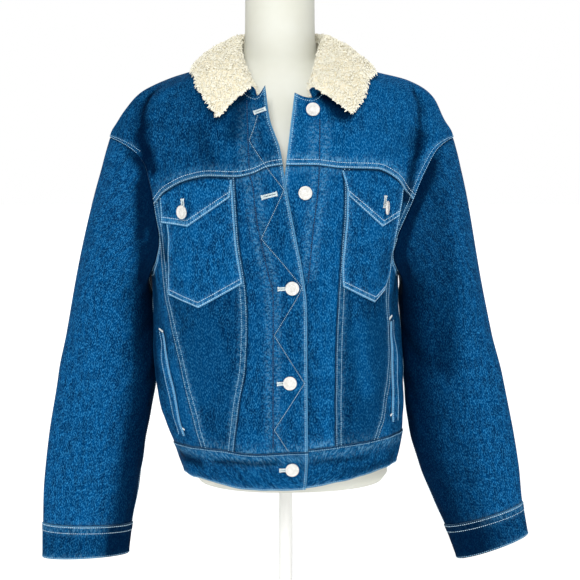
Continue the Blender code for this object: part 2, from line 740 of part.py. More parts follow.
def build_front(side, legs, material):
    """One front: the yoke, the centre, middle and side panels. Edges run from the centre outwards."""
    band_edge, band_1, band_2 = (
        meeting(seam, side.centre_turn, band_height, 320) for seam in (side.edge, side.seam_1, side.seam_2)
    )
    yoke_edge, yoke_1 = (
        meeting(seam, side.centre_turn, yoke_height, 690) for seam in (side.edge, side.seam_1)
    )
    rows = SIDE_ROWS + YOKE_TO_POCKET
    edge = upright(side.edge, side.centre_turn, band_edge, yoke_edge, rows)
    seam_1 = upright(side.seam_1, side.centre_turn, band_1, yoke_1, rows)
    pocket_corner = legs["arm"][0]
    seam_2 = upright(side.seam_2, side.centre_turn, band_2, pocket_corner[1], SIDE_ROWS)
    seam_2 += (pocket_corner - seam_2[-1]) * np.linspace(0, 1, SIDE_ROWS + 1)[:, None] ** 3
    yoke_end = legs["top"][-1]
    outer_seam = side_seam(side, legs)

    centre_low = crosswise(band_height, edge[0], seam_1[0], CENTRE_COLUMNS)
    centre_high = crosswise(yoke_height, edge[-1], seam_1[-1], CENTRE_COLUMNS)
    panel(f"centre_front_{side.name}", oriented(side, centre_low, centre_high, edge, seam_1), material)

    middle_low = crosswise(band_height, seam_1[0], seam_2[0], MIDDLE_COLUMNS)
    middle_high = crosswise(yoke_height, seam_1[-1], yoke_end, MIDDLE_COLUMNS)
    outer_edge = joined(seam_2, legs["pocket"][::-1])
    panel(f"middle_front_{side.name}", oriented(side, middle_low, middle_high, seam_1, outer_edge), material)

    side_low = crosswise(band_height, seam_2[0], outer_seam[0], POCKET_TO_ARM)
    panel(f"side_front_{side.name}", oriented(side, side_low, legs["arm"], seam_2, outer_seam), material)

    edge_top = side.neckline[0].height
    yoke_rows = TOP_TO_YOKE + SHOULDER_ROWS
    yoke_edge_path = upright(side.edge, side.centre_turn, yoke_edge, edge_top, yoke_rows)
    neck = evenly(marks_path(side.neckline, side.centre_turn), CENTRE_COLUMNS + MIDDLE_COLUMNS, on_body)
    yoke_outer = joined(legs["top"][::-1], shoulder_seam(side))
    yoke_low = joined(centre_high, middle_high)
    yoke_edge_path += (neck[0] - yoke_edge_path[-1]) * np.linspace(0, 1, yoke_rows + 1)[:, None] ** 2
    panel(f"front_yoke_{side.name}", oriented(side, yoke_low, neck, yoke_edge_path, yoke_outer), material)


def back_seam(side, count):
    """The back's upright seam, which leans in towards the band."""
    turns = np.linspace(*(back_turn(side, share) for share in BACK_SEAM_SHARES), SEAM_SAMPLES)
    heights = np.linspace(float(band_height(turns[0])), BACK_YOKE_HEIGHT, SEAM_SAMPLES)
    return evenly(np.stack([turns, heights], -1), count, on_body)


def build_back(legs_left, legs_right, material):
    """The back: a yoke, a centre panel and two side panels. Turns run from the right side to the left."""
    rows = SIDE_ROWS + ARM_TO_BACK_YOKE
    yoke_seam = level(BACK_YOKE_HEIGHT)
    seams = {side.name: back_seam(side, rows) for side in (RIGHT, LEFT)}
    centre_low = crosswise(band_height, seams["right"][0], seams["left"][0], BACK_CENTRE_COLUMNS)
    centre_high = crosswise(yoke_seam, seams["right"][-1], seams["left"][-1], BACK_CENTRE_COLUMNS)
    panel("back_centre", patch(centre_low, centre_high, seams["right"], seams["left"]), material)
    highs = {}
    for side, legs in ((RIGHT, legs_right), (LEFT, legs_left)):
        outer = joined(side_seam(side, legs), legs["back_arm"][::-1])
        low = crosswise(band_height, outer[0], seams[side.name][0], BACK_SIDE_COLUMNS)
        high = crosswise(yoke_seam, outer[-1], seams[side.name][-1], BACK_SIDE_COLUMNS)
        highs[side.name] = high
        panel(f"back_side_{side.name}", oriented(side, low, high, outer, seams[side.name]), material)
    yoke_low = joined(highs["right"], centre_high, highs["left"][::-1])
    first = joined(legs_right["back_top"][::-1], shoulder_seam(RIGHT))
    last = joined(legs_left["back_top"][::-1], shoulder_seam(LEFT))
    neck_turns = np.linspace(1, 3, SEAM_SAMPLES)
    neck_heights = smooth(neck_turns, column(BACK_NECKLINE, "turn"), column(BACK_NECKLINE, "height"))
    neck = evenly(np.stack([neck_turns, neck_heights], -1), len(yoke_low) - 1, on_body)
    panel("back_yoke", patch(yoke_low, neck, first, last), material)


def build_waistband(material):
    """The waistband: one strip from the right front's edge round the back to the left front's edge."""
    turns = []
    for side in (RIGHT, LEFT):
        x = smooth(BAND_MIDDLE, column(side.edge, "height"), column(side.edge, "x"))
        turns.append(turn_at(x, BAND_MIDDLE, side.centre_turn))
    high = crosswise(band_height, *[(turn, band_height(turn)) for turn in turns], BAND_COLUMNS)
    low = crosswise(hem_height, *[(turn, hem_height(turn)) for turn in turns], BAND_COLUMNS)
    first, last = (np.linspace(low[k], high[k], BAND_ROWS + 1) for k in (0, -1))
    panel("waistband", patch(low, high, first, last), material, out=BAND_PROUD, thickness=BAND_WALL)


# ---------------------------------------------------------------- what lies on the panels
def legs_between(corners, centre_turn, counts):
    """Straight runs between corners seen from the front, each divided evenly."""
    legs = []
    for start, end, count in zip(corners, corners[1:], counts):
        x, height = np.linspace(start, end, SEAM_SAMPLES).T
        legs.append(evenly(np.stack([turn_at(x, height, centre_turn), height], -1), count, on_body))
    return joined(*legs)


def build_sewn(piece, material):
    """A piece that lies on a front under the yoke's seam: its lower edge has corners."""
    side = LEFT if piece.side == LEFT.name else RIGHT
    low = legs_between(piece.lower, side.centre_turn, piece.columns)
    sides = []
    for corners in (piece.inner, piece.outer):
        path = through([(turn_at(x, height, side.centre_turn), height) for x, height in corners])
        sides.append(evenly(path, piece.rows, on_body))
    ends = [(edge[-1, 0], float(yoke_height(edge[-1, 0])) - YOKE_CLEAR) for edge in sides]
    high = crosswise(lambda turn: yoke_height(turn) - YOKE_CLEAR, *ends, len(low) - 1)
    for edge, corner in zip(sides, (high[0], high[-1])):
        edge += (corner - edge[-1]) * np.linspace(0, 1, piece.rows + 1)[:, None]
    grid = oriented(side, low, high, sides[0], sides[1])
    panel(piece.name, grid, material, out=piece.faces[1], thickness=piece.faces[1] - piece.faces[0], gap=0.0)


def build_welt(side, ends, material):
    """A side pocket's welt: a narrow strip slanting down the side front."""
    x, heights = np.linspace(*ends[::-1], WELT_ROWS + 1).T
    turns = turn_at(x, heights, side.centre_turn)
    middle, step = ring_points(BODY, turns, heights), 0.01
    reach = np.linalg.norm(ring_points(BODY, turns + step, heights) - middle, axis=-1) / step
    spread = np.linspace(-0.5, 0.5, WELT_COLUMNS + 1)[None, :] * WELT_WIDTH / reach[:, None]
    grid = np.stack([turns[:, None] + spread, np.broadcast_to(heights[:, None], spread.shape)], -1)
    low_face, high_face = WELT_OUT
    panel(f"side_welt_{side.name}", grid, material, out=high_face, thickness=high_face - low_face, gap=0.0)


def build_button(place, material):
    """A flat sew-on button with a raised rim, laid on the cloth and tipped about the upright, in degrees."""
    rim, dished = BUTTON_RADIUS - BUTTON_RIM, BUTTON_THICK - BUTTON_DISH
    profile = [(0, dished), (rim - BUTTON_DISH, dished), (rim, BUTTON_THICK),
               (BUTTON_RADIUS - BUTTON_ROUND, BUTTON_THICK), (BUTTON_RADIUS, BUTTON_THICK - BUTTON_ROUND),
               (BUTTON_RADIUS, BUTTON_ROUND), (BUTTON_RADIUS - BUTTON_ROUND, 0), (0, 0)]
    mesh = bpy.data.meshes.new(place.name)
    points = [(r * MM, 0, z * MM) for r, z in profile]
    mesh.from_pydata(points, [(k, k + 1) for k in range(len(points) - 1)], [])
    mesh.materials.append(material)
    button = bpy.data.objects.new(place.name, mesh)
    PARTS.objects.link(button)
    turned = button.modifiers.new("turned", "SCREW")
    turned.steps = BUTTON_STEPS
    turned.render_steps = BUTTON_STEPS
    turned.use_merge_vertices = True
    turned.merge_threshold = 0.00001
    x, height, tilt = np.array(float(place.x)), np.array(float(place.height)), math.radians(place.tilt)
    turn = turn_at(x, height, place.centre_turn)
    lift = place.out + BUTTON_STANDS + BUTTON_RADIUS * math.sin(abs(tilt))
    button.rotation_mode = "QUATERNION"
    laid = Vector(body_normals(turn, height)).to_track_quat("Z", "Y")
    button.rotation_quaternion = Quaternion((0, 0, 1), tilt) @ laid
    button.location = Vector(cloth(turn, height, lift) * MM)


# ---------------------------------------------------------------- sleeves
def sleeve_ring(side, sections, around, height):
    """Points of a sleeve's oval section: around is 0 on its outer line and a quarter at the front."""
    order = sorted(sections)
    x, y, half_width, half_depth, tilt = (
        smooth(height, column(order, "height"), column(order, name))
        for name in ("x", "y", "half_width", "half_depth", "tilt")
    )
    angle = 2 * math.pi * around
    lean = np.radians(tilt)
    across = half_width * np.cos(angle)
    out = x + side.out * across * np.cos(lean)
    return np.stack([out, y - half_depth * np.sin(angle), height + across * np.sin(lean)], -1)


def armhole_ring(side, legs):
    """The armhole's points once round, from the shoulder over the front, with the body's normals."""
    front = joined(legs["top"], legs["pocket"], legs["arm"])
    back = joined(legs["back_arm"][::-1], legs["back_top"][::-1])
    path = joined(front, back)[:-1]
    return cloth(path[:, 0], path[:, 1]), body_normals(path[:, 0], path[:, 1])


def round_shares(points, underarm):
    """The share of the way round of each armhole point: half of it down the front to the underarm."""
    gaps = np.linalg.norm(np.roll(points, -1, axis=0) - points, axis=1)
    front, back = gaps[:underarm], gaps[underarm:]
    down = np.concatenate([[0], np.cumsum(front)]) / front.sum() * 0.5
    up = 0.5 + np.cumsum(back)[:-1] / back.sum() * 0.5
    return np.concatenate([down, up])


def sleeve_grid(side, legs, sections, folds, seam_height):
    """The sleeve's outer points, row by row from the armhole to the cuff, and their normals."""
    ring, ring_normals = armhole_ring(side, legs)
    underarm = TOP_TO_YOKE + YOKE_TO_POCKET + POCKET_TO_ARM
    around = round_shares(ring, underarm)
    top = sections[0].height
    first = sleeve_ring(side, sections, around, np.full(len(around), float(top)))
    below = sleeve_ring(side, sections, around, np.full(len(around), float(top) - 2))
    chord = first - ring
    length = np.linalg.norm(chord, axis=1, keepdims=True)
    outward = LEAVE_OUT - LEAVE_TOP * np.cos(2 * math.pi * around)
    sideways = LEAVE_SIDEWAYS * chord[:, 1] / length[:, 0]
    leave = unit(np.stack([outward * side.out, sideways, np.full(len(ring), -1.0)], -1))
    arrive = unit(below - first)
    t = np.linspace(0, 1, FAN_ROWS + 1)[:, None, None]
    fan = (
        ring * (1 + 2 * t) * (1 - t) ** 2
        + leave * length * t * (1 - t) ** 2
        + first * (3 - 2 * t) * t**2
        - arrive * length * (1 - t) * t**2
    )
    heights = np.linspace(top, seam_height, SLEEVE_ROWS + 1)[1:, None]
    tube = sleeve_ring(side, sections, around[None, :], np.broadcast_to(heights, (SLEEVE_ROWS, len(around))))
    grid = np.concatenate([fan, tube])
    normals = tube_normals(grid, side)
    depth = fold_depth(folds, around[None, :], grid[..., 2], SLEEVE_TURN)
    fade = np.clip(np.arange(len(grid)) / FOLD_FADE_ROWS, 0, 1)[:, None]
    grid = grid - normals * (depth * fade)[..., None]
    normals = tube_normals(grid, side)
    alike = np.clip(np.sum(normals[0] * ring_normals, axis=1, keepdims=True), 0, 1)
    normals[0] = unit(normals[0] * (1 - alike) + ring_normals * alike)
    normals[1] = unit(normals[1] + ring_normals * alike)
    edge_way = np.roll(ring, -1, axis=0) - np.roll(ring, 1, axis=0)
    into_hole = unit(np.cross(ring_normals, edge_way))
    into_hole *= np.sign(np.sum(into_hole * (ring.mean(axis=0) - ring)))
    grid[0] += into_hole * SEAM_GAP
    return grid, normals


def tube_normals(grid, side):
    """Outward normals of a tube of rings."""
    around = np.roll(grid, -1, axis=1) - np.roll(grid, 1, axis=1)
    along = np.gradient(grid, axis=0)
    return unit(np.cross(around, along)) * side.out


def build_sleeve(side, legs, sections, folds, cuff_seam, cuff_hem, material):
    """A two-piece sleeve and its cuff."""
    grid, normals = sleeve_grid(side, legs, sections, folds, cuff_seam)
    underarm = TOP_TO_YOKE + YOKE_TO_POCKET + POCKET_TO_ARM
    back_seam_at = underarm + ARM_TO_BACK_YOKE
    count = grid.shape[1]
    top_columns = [k % count for k in range(back_seam_at, count + underarm + 1)]
    under_columns = list(range(underarm, back_seam_at + 1))
    for name, columns in (("top_sleeve", top_columns), ("under_sleeve", under_columns)):
        outer = grid[:, columns]
        inner = outer - normals[:, columns] * CLOTH
        wall(f"{name}_{side.name}", outer, inner, material)
    around = np.linspace(0, 1, CUFF_COLUMNS, endpoint=False)
    heights = np.linspace(cuff_seam - SEAM_GAP, cuff_hem, CUFF_ROWS + 1)[:, None]
    heights = np.broadcast_to(heights, (CUFF_ROWS + 1, CUFF_COLUMNS))
    cuff = sleeve_ring(side, sections, around[None, :], heights)
    normal = tube_normals(cuff, side)
    outer = cuff + normal * CUFF_PROUD
    wall(f"cuff_{side.name}", outer, outer - normal * CUFF_WALL, material, closed=True)


# ---------------------------------------------------------------- collar
def collar_grid():
    """The fold surface between sherpa and denim, station by station, and its normals on the sherpa's side."""
    left = marks_path(LEFT_NECKLINE[1:], 4.0)
    right = marks_path(RIGHT_NECKLINE[2:], 0.0)
    turns = np.linspace(3, 1, SEAM_SAMPLES)
    back = np.stack([turns, smooth(turns, column(BACK_NECKLINE, "turn"), column(BACK_NECKLINE, "height"))], -1)
    foot_path = joined(left, back, right[::-1])
    along = np.linspace(0, 1, COLLAR_STATIONS + 1)
    spots = evenly(foot_path, COLLAR_STATIONS, on_body)
    foot = cloth(spots[:, 0], spots[:, 1], -CLOTH / 2)
    foot[:, 2] += COLLAR_LIFT + END_LIFT * np.abs(2 * along - 1) ** 6
    names = ("roll_x", "roll_y", "roll_height", "edge_turn", "edge_height")
    x, y, z, turn, height = (smooth(along, column(COLLAR, "along"), column(COLLAR, name)) for name in names)
    roll = np.stack([x, y, z], -1)
    edge = cloth(turn, height, EDGE_LIFT)
    rail = np.gradient(roll, axis=0)
    outward = unit(np.cross(edge - roll, rail))
    outward *= np.sign(outward[:, 2:3])
    across = np.cross(rail, [0, 0, 1])
    across = unit(across * np.sign(np.sum(across * (edge - roll), axis=1, keepdims=True)))
    swell = np.interp(along, column(COLLAR_SWELL, "along"), column(COLLAR_SWELL, "bulge"))[:, None]
    rows = []
    for k in range(COLLAR_STATIONS + 1):
        n, r, e = foot[k], roll[k], edge[k]
        bulge = outward[k] * swell[k]
        half = min(ROLL_HALF, ROLL_LEAST * np.linalg.norm(r - n))
        shoulder = np.array([0, 0, half * ROLL_DROP])
        inner, outer = r - across[k] * half - shoulder, r + across[k] * half - shoulder
        middle = outer + FALL_MIDDLE * (e - outer) + bulge
        path = through([n, n + 0.5 * (inner - n), inner, r, outer, middle, e], COLLAR_SAMPLES)
        stand_end, fall_start = 2 * COLLAR_SAMPLES, 4 * COLLAR_SAMPLES
        legs = (path[: stand_end + 1], path[stand_end : fall_start + 1], path[fall_start:])
        parts = zip(legs, COLLAR_PROFILE)
        rows.append(joined(*[evenly(part, count, lambda spots: spots) for part, count in parts]))
    grid = np.array(rows)
    normals = unit(np.cross(np.gradient(grid, axis=0), np.gradient(grid, axis=1)))
    crown = normals[:, COLLAR_PROFILE[0] + COLLAR_PROFILE[1] // 2, 2]
    return grid, normals * np.sign(crown.mean())


def build_collar(sherpa, denim):
    """The upper collar in thick sherpa and the under collar in denim, back to back."""
    grid, normals = collar_grid()
    across = np.linspace(0, 1, grid.shape[1])[None, :]
    along = np.linspace(0, 1, grid.shape[0])[:, None]
    from_edge = np.clip((1 - across) / COLLAR_RIM[0], 0, 1)
    from_ends = np.clip(np.minimum(along, 1 - along) / COLLAR_RIM[1], 0, 1)
    thick = (SHERPA_EDGE + (SHERPA - SHERPA_EDGE) * np.sqrt(np.minimum(from_edge, from_ends)))[..., None]
    half_gap = TOUCH_GAP / 2
    wall("collar_sherpa", grid + normals * thick, grid + normals * half_gap, sherpa, gap=0.0)
    wall("collar_denim", grid - normals * half_gap, grid - normals * (half_gap + CLOTH), denim, gap=0.0)


# ---------------------------------------------------------------- the dress form and its stand
def build_form(material):
    """The dress form: rings lofted from its table, closed flat at the bottom and on the neck."""
    turns = np.linspace(0, 4, FORM_SIDES, endpoint=False)
    heights = np.array(column(DRESS_FORM, "height"), float)
    grid = ring_points(DRESS_FORM, turns[None, :], heights[:, None])
    index = np.arange(grid.shape[0] * FORM_SIDES).reshape(-1, FORM_SIDES)
    ahead = np.roll(index, -1, axis=1)
    quads = np.stack([index[:-1], ahead[:-1], ahead[1:], index[1:]], -1).reshape(-1, 4)
    faces = quads.tolist() + [index[0, ::-1].tolist(), index[-1].tolist()]
    new_object("dress_form", grid.reshape(-1, 3), faces, material)


def round_bar(name, sides, radius, low, high):
    """An upright cylinder from one height to another."""
    bpy.ops.mesh.primitive_cylinder_add(vertices=sides, radius=radius * MM, depth=(high - low) * MM)
    bar = bpy.context.object
    bar.name = name
    bar.location = (0, 0, (low + high) / 2 * MM)
    return bar


def build_stand(material):
    """A slim pole on a heavy round base."""
    low, high = BASE_THICK + TOUCH_GAP, FORM_BOTTOM - TOUCH_GAP
    base = round_bar("stand_base", BASE_SIDES, BASE_RADIUS, 0.0, BASE_THICK)
    pole = round_bar("stand_pole", POLE_SIDES, POLE_RADIUS, low, high)
    rounded = base.modifiers.new("rounded edge", "BEVEL")
    rounded.width = BASE_ROUND * MM
    rounded.segments = 1
    rounded.limit_method = "ANGLE"
    for piece in (base, pole):
        piece.data.materials.append(material)
        piece.data.shade_smooth()
        piece.data.set_sharp_from_angle(angle=math.radians(SMOOTH_UNDER))
        for collection in list(piece.users_collection):
            collection.objects.unlink(piece)
        PARTS.objects.link(piece)


# ---------------------------------------------------------------- the whole
for old in list(bpy.data.objects):
    bpy.data.objects.remove(old, do_unlink=True)

PARTS = bpy.data.collections.new("sherpa_collar_jacket_on_dress_form")
bpy.context.scene.collection.children.link(PARTS)

denim = finish("washed denim", DENIM, 0.9)
sherpa = finish("cream sherpa", SHERPA_CREAM, 1.0)
button_ivory = finish("ivory button", BUTTON_IVORY, 0.35)
form_ivory = finish("ivory form", FORM_IVORY, 0.6)
stand_white = finish("white enamel", STAND_WHITE, 0.4)

left_legs, right_legs = armhole_legs(LEFT), armhole_legs(RIGHT)
build_front(LEFT, left_legs, denim)
build_front(RIGHT, right_legs, denim)
build_back(left_legs, right_legs, denim)
build_waistband(denim)
for sewn in SEWN_ON:
    build_sewn(sewn, denim)
build_welt(LEFT, LEFT_WELT, denim)
build_welt(RIGHT, RIGHT_WELT, denim)
build_sleeve(LEFT, left_legs, LEFT_SLEEVE, LEFT_SLEEVE_FOLDS, CUFF_SEAM, CUFF_HEM, denim)
build_sleeve(RIGHT, right_legs, RIGHT_SLEEVE, RIGHT_SLEEVE_FOLDS, RIGHT_CUFF_SEAM, RIGHT_CUFF_HEM, denim)
build_collar(sherpa, denim)
for place in BUTTONS:
    build_button(place, button_ivory)
build_form(form_ivory)
build_stand(stand_white)
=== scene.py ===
"""The looks of a denim jacket with a sherpa collar on a limbless dress form: cloth, stitches, pile and stand.

Sizes are in millimetres until a mesh is made. +Z is up, the front looks towards -Y, and left and right are
as seen from the front. The cloth round the body is one surface: a place on it has a height and a turn, which
counts quarter turns round the body (0 centre front, 1 right side, 2 centre back, 3 left side, 4 centre front).
"""

import logging
import math
from dataclasses import dataclass, field
from enum import Enum
from typing import Any, Callable, NamedTuple

import bpy
import numpy as np
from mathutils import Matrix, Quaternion, Vector


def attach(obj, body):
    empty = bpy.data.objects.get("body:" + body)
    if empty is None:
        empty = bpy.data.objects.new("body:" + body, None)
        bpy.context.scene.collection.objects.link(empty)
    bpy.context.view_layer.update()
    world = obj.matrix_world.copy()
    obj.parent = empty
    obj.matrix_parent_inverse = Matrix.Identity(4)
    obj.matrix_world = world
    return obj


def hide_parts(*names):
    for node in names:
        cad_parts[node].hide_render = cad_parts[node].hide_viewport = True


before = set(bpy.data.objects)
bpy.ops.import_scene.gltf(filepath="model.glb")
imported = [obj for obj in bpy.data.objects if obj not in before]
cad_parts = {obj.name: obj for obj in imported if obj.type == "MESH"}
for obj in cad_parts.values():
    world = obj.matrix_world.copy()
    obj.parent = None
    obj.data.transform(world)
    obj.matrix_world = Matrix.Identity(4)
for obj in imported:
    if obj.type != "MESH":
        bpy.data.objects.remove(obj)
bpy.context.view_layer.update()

LOG = logging.getLogger("jacket")
MM = 0.001
Array = np.ndarray
Corners = tuple[tuple[float, float], ...]
Material = bpy.types.Material
Thing = bpy.types.Object


# ---- rows of the tables
class Ring(NamedTuple):
    """The body's outline at one height: where its sides are, and its depth each way."""

    height: float
    left: float
    right: float
    front: float
    back: float
    corner: float  # 2 is an ellipse, and more is squarer


class Mark(NamedTuple):
    """A place on a seam: at an x if it is upright, at a turn if it runs round, and at a share of a quarter turn
    from the centre line to the side if it is an armhole."""

    at: float
    height: float


class Fold(NamedTuple):
    """A soft trough (or, with a negative depth, a ridge) from one place to another."""

    from_turn: float
    from_height: float
    to_turn: float
    to_height: float
    width: float
    depth: float


class Section(NamedTuple):
    """One oval section of a sleeve; tilt raises its outer end, in degrees."""

    height: float
    x: float
    y: float
    half_width: float
    half_depth: float
    tilt: float


class Station(NamedTuple):
    """One place along the collar: its roll line, and where its outer edge lies on the body."""

    along: float
    roll_x: float
    roll_y: float
    roll_height: float
    edge_turn: float
    edge_height: float


class Ripple(NamedTuple):
    """One slow wave of the cloth: its length across and up, where it starts, and its height."""

    across: float
    up: float
    start: float
    height: float


def table_of(kind: type, *values: tuple) -> tuple:
    """The rows of a table."""
    return tuple(kind(*row) for row in values)


# ---- the jacket's tables
BODY = table_of(Ring, (250, -134, 141, 109, 105, 2.4), (268, -141, 148, 113, 108, 2.4),
    (285, -147, 155, 116, 111, 2.5), (300, -152, 159, 118, 112, 2.5), (315, -157, 161, 119, 113, 2.5),
    (330, -163, 162, 123, 116, 2.5), (345, -169, 163, 125, 117, 2.5), (360, -174, 164, 126, 118, 2.6),
    (406, -180, 164, 127, 118, 2.6), (455, -183, 161, 127, 118, 2.6), (515, -184, 155, 127, 119, 2.6),
    (560, -186, 158, 127, 120, 2.6), (600, -194, 175, 126, 121, 2.6), (632, -206, 193, 124, 121, 2.6),
    (681, -226, 214, 119, 121, 2.5), (712, -236, 224, 114, 119, 2.4), (733, -239, 228, 109, 117, 2.4),
    (754, -228, 217, 102, 113, 2.4), (780, -209, 205, 93, 106, 2.3), (794, -193, 193, 86, 100, 2.3),
    (809, -160, 165, 76, 90, 2.2), (819, -129, 124, 67, 80, 2.2), (829, -95, 83, 58, 69, 2.1),
    (838, -70, 56, 50, 60, 2), (850, -60, 48, 46, 54, 2))
FORM = table_of(Ring, (255, -122, 136, 88, 88, 2.2), (265, -128, 143, 93, 93, 2.2), (290, -132, 142, 96, 95, 2.3),
    (340, -138, 138, 99, 97, 2.3), (410, -129, 126, 97, 92, 2.2), (480, -121, 115, 95, 88, 2.2),
    (550, -134, 126, 106, 95, 2.2), (610, -143, 132, 110, 100, 2.2), (670, -150, 139, 104, 102, 2.2),
    (720, -163, 152, 92, 100, 2.2), (755, -172, 161, 79, 93, 2.1), (776, -171, 160, 70, 86, 2.1),
    (792, -156, 146, 62, 78, 2), (803, -130, 119, 56, 70, 2), (812, -98, 86, 51, 62, 2), (822, -72, 59, 47, 55, 2),
    (838, -59, 45, 45, 50, 2), (870, -55, 40, 45, 47, 2), (930, -54, 39, 45, 46, 2), (936, -48, 33, 39, 40, 2))
LEFT_EDGE = table_of(Mark, (30, 260), (29, 420), (28, 515), (23, 558), (15, 600), (3, 662), (-1, 685), (-6, 717),
    (-19, 757), (-25, 805))
RIGHT_EDGE = table_of(Mark, (-18, 260), (-20, 414), (-17, 537), (-8, 620), (0, 692), (5, 735), (13, 805))
LEFT_SEAM_1 = table_of(Mark, (-69, 310), (-60, 383), (-51, 438), (-49, 493), (-51, 537), (-60, 600), (-66, 695))
RIGHT_SEAM_1 = table_of(Mark, (67, 310), (66, 390), (67, 470), (69, 520), (73, 585), (77, 650), (75, 705))
LEFT_SEAM_2 = table_of(Mark, (-111, 310), (-127, 383), (-141, 438), (-151, 485), (-158, 522), (-160, 560),
    (-156, 602))
RIGHT_SEAM_2 = table_of(Mark, (119, 310), (133, 365), (141, 420), (142, 465), (138, 505), (140, 560), (146, 602))
YOKE_SEAM = table_of(Mark, (-200, 618), (-177, 640), (-159, 661), (-127, 678), (-100, 683), (-66, 682), (-44, 686),
    (-22, 695), (4, 698), (37, 698), (74, 694), (121, 692), (145, 680), (168, 652), (190, 630))
LEFT_NECKLINE = table_of(Mark, (-26, 799), (-36, 786), (-48, 789), (-58, 800), (-65, 814), (-69, 827), (-70, 838))
RIGHT_NECKLINE = table_of(Mark, (12, 792), (25, 786), (37, 785), (47, 793), (53, 808), (56, 824), (56, 838))
BACK_NECKLINE = table_of(Mark, (1, 838), (1.5, 831), (2, 827), (2.5, 831), (3, 838))
BAND_SEAM = table_of(Mark, (-0.15, 321), (0.1, 322), (0.4, 328), (0.7, 331), (1, 327), (2, 321), (3, 312), (3.3, 318),
    (3.6, 320), (3.8, 317), (4.15, 321))
HEM = table_of(Mark, (-0.15, 266), (0.1, 267), (0.4, 277), (0.75, 286), (1, 283), (2, 270), (3, 267), (3.25, 273),
    (3.5, 272), (3.75, 266), (4.15, 267))
LEFT_ARMHOLE = table_of(Mark, (1, 733), (0.87, 731), (0.75, 726), (0.66, 716), (0.6, 701), (0.585, 683), (0.605, 648),
    (0.65, 602), (0.74, 571), (0.87, 554), (1, 550))
RIGHT_ARMHOLE = table_of(Mark, (1, 733), (0.86, 730), (0.752, 722), (0.695, 709), (0.666, 690), (0.65, 660),
    (0.636, 630), (0.645, 602), (0.69, 580), (0.77, 562), (0.88, 553), (1, 550))
BACK_ARMHOLE = table_of(Mark, (1, 733), (0.88, 730), (0.75, 721), (0.67, 706), (0.64, 680), (0.64, 650), (0.67, 612),
    (0.75, 577), (0.88, 556), (1, 550))
MAIN_FOLDS = table_of(Fold, (3.25, 788, 3.42, 716, 11, 5.5), (0.73, 788, 0.59, 730, 12, 6),
    (0.6, 730, 0.585, 668, 12, 4), (3.55, 760, 3.5, 705, 20, 2.5), (0.46, 770, 0.47, 715, 20, 2.5),
    (2.6, 780, 2.62, 705, 15, 5), (1.4, 780, 1.38, 705, 15, 5), (0.2, 640, 0.17, 360, 12, 2.5),
    (0.88, 540, 0.76, 470, 16, 4), (3.14, 540, 3.26, 460, 16, 4), (3.62, 470, 3.48, 350, 20, -3),
    (0.55, 480, 0.5, 350, 22, -3), (1.25, 540, 1.45, 430, 18, 4.5), (2.75, 535, 2.55, 440, 18, 4.5),
    (1.6, 400, 1.66, 335, 16, 3), (2.2, 410, 2.24, 335, 16, 3), (3.15, 300, 3.75, 304, 7, 2),
    (0.25, 308, 0.85, 312, 7, 2), (1.3, 302, 2.6, 299, 7, 1.6))
LESSER_FOLDS = table_of(Fold, (0.16, 372, 0.36, 336, 7, 1.7), (0.2, 400, 0.31, 372, 8, 1.3),
    (0.44, 360, 0.62, 338, 7, 1.4), (0.6, 392, 0.71, 352, 8, 1.2), (3.8, 366, 3.66, 338, 8, 1.4),
    (3.58, 372, 3.44, 336, 8, 1.5), (3.3, 384, 3.36, 340, 8, 1.3), (3.88, 640, 3.93, 560, 9, 1.1),
    (0.1, 760, 0.12, 712, 8, 1.2), (0.23, 752, 0.26, 712, 9, 1), (3.7, 752, 3.73, 708, 9, 1.2),
    (0.72, 600, 0.62, 560, 9, 1.6), (3.3, 600, 3.38, 560, 9, 1.6), (0.66, 560, 0.5, 500, 12, 1.3),
    (3.36, 560, 3.5, 500, 12, 1.3), (0.35, 300, 0.6, 290, 8, 1.2), (3.4, 294, 3.6, 288, 8, 1.1),
    (1.1, 430, 1.2, 340, 10, 1.8), (2.9, 430, 2.82, 336, 10, 1.8), (1.85, 640, 1.88, 520, 16, 1.6),
    (2.14, 560, 2.12, 430, 16, 1.5), (1.55, 640, 1.5, 560, 13, 1.8), (2.46, 640, 2.5, 565, 13, 1.8),
    (1.72, 815, 1.66, 770, 12, 1.3), (2.3, 812, 2.34, 765, 12, 1.3))
RIPPLES = table_of(Ripple, (61, 190, 0.3, 0.42), (-47, 150, 1.9, 0.34), (33, 95, 4.1, 0.24), (150, 52, 2.6, 0.26),
    (-28, 61, 5.2, 0.16), (21, -48, 0.9, 0.12))
# Painted shade where the cloth lies in a hollow out of the light, and (with a negative depth) painted highlights
BODY_PAINTED_SHADE_AND_LIGHT = table_of(Fold, (3.255, 792, 3.39, 750, 5, 1.1), (3.4, 745, 3.445, 692, 6.5, 1.7),
    (0.73, 795, 0.61, 748, 5, 0.9), (0.6, 742, 0.575, 705, 7, 1.5), (0.57, 700, 0.6, 655, 7, 1.3),
    (0.15, 797, 0.24, 763, 11, 1.6), (0.22, 768, 0.27, 745, 10, 0.35), (3.84, 785, 3.83, 735, 8, 0.5),
    (3.7, 745, 3.74, 700, 8, 0.35), (3.76, 756, 3.66, 786, 8, 0.4), (0.03, 660, 0.09, 560, 9, 0.45),
    (0.12, 556, 0.16, 340, 8, 0.5), (3.3, 640, 3.36, 575, 8, 0.5), (0.69, 640, 0.68, 570, 7, 0.5),
    (3.1, 560, 3.14, 400, 14, 0.6), (0.9, 560, 0.86, 400, 14, 0.5), (3.6, 302, 3.97, 305, 3.5, 0.7),
    (0.18, 305, 0.5, 306, 3.5, 0.5), (3.2, 300, 3.45, 296, 7, 0.7), (0.35, 286, 0.75, 296, 7, 0.35),
    (0.42, 520, 0.46, 400, 9, -0.35), (3.55, 600, 3.52, 560, 10, -0.25), (0.3, 735, 0.33, 700, 9, -0.3))
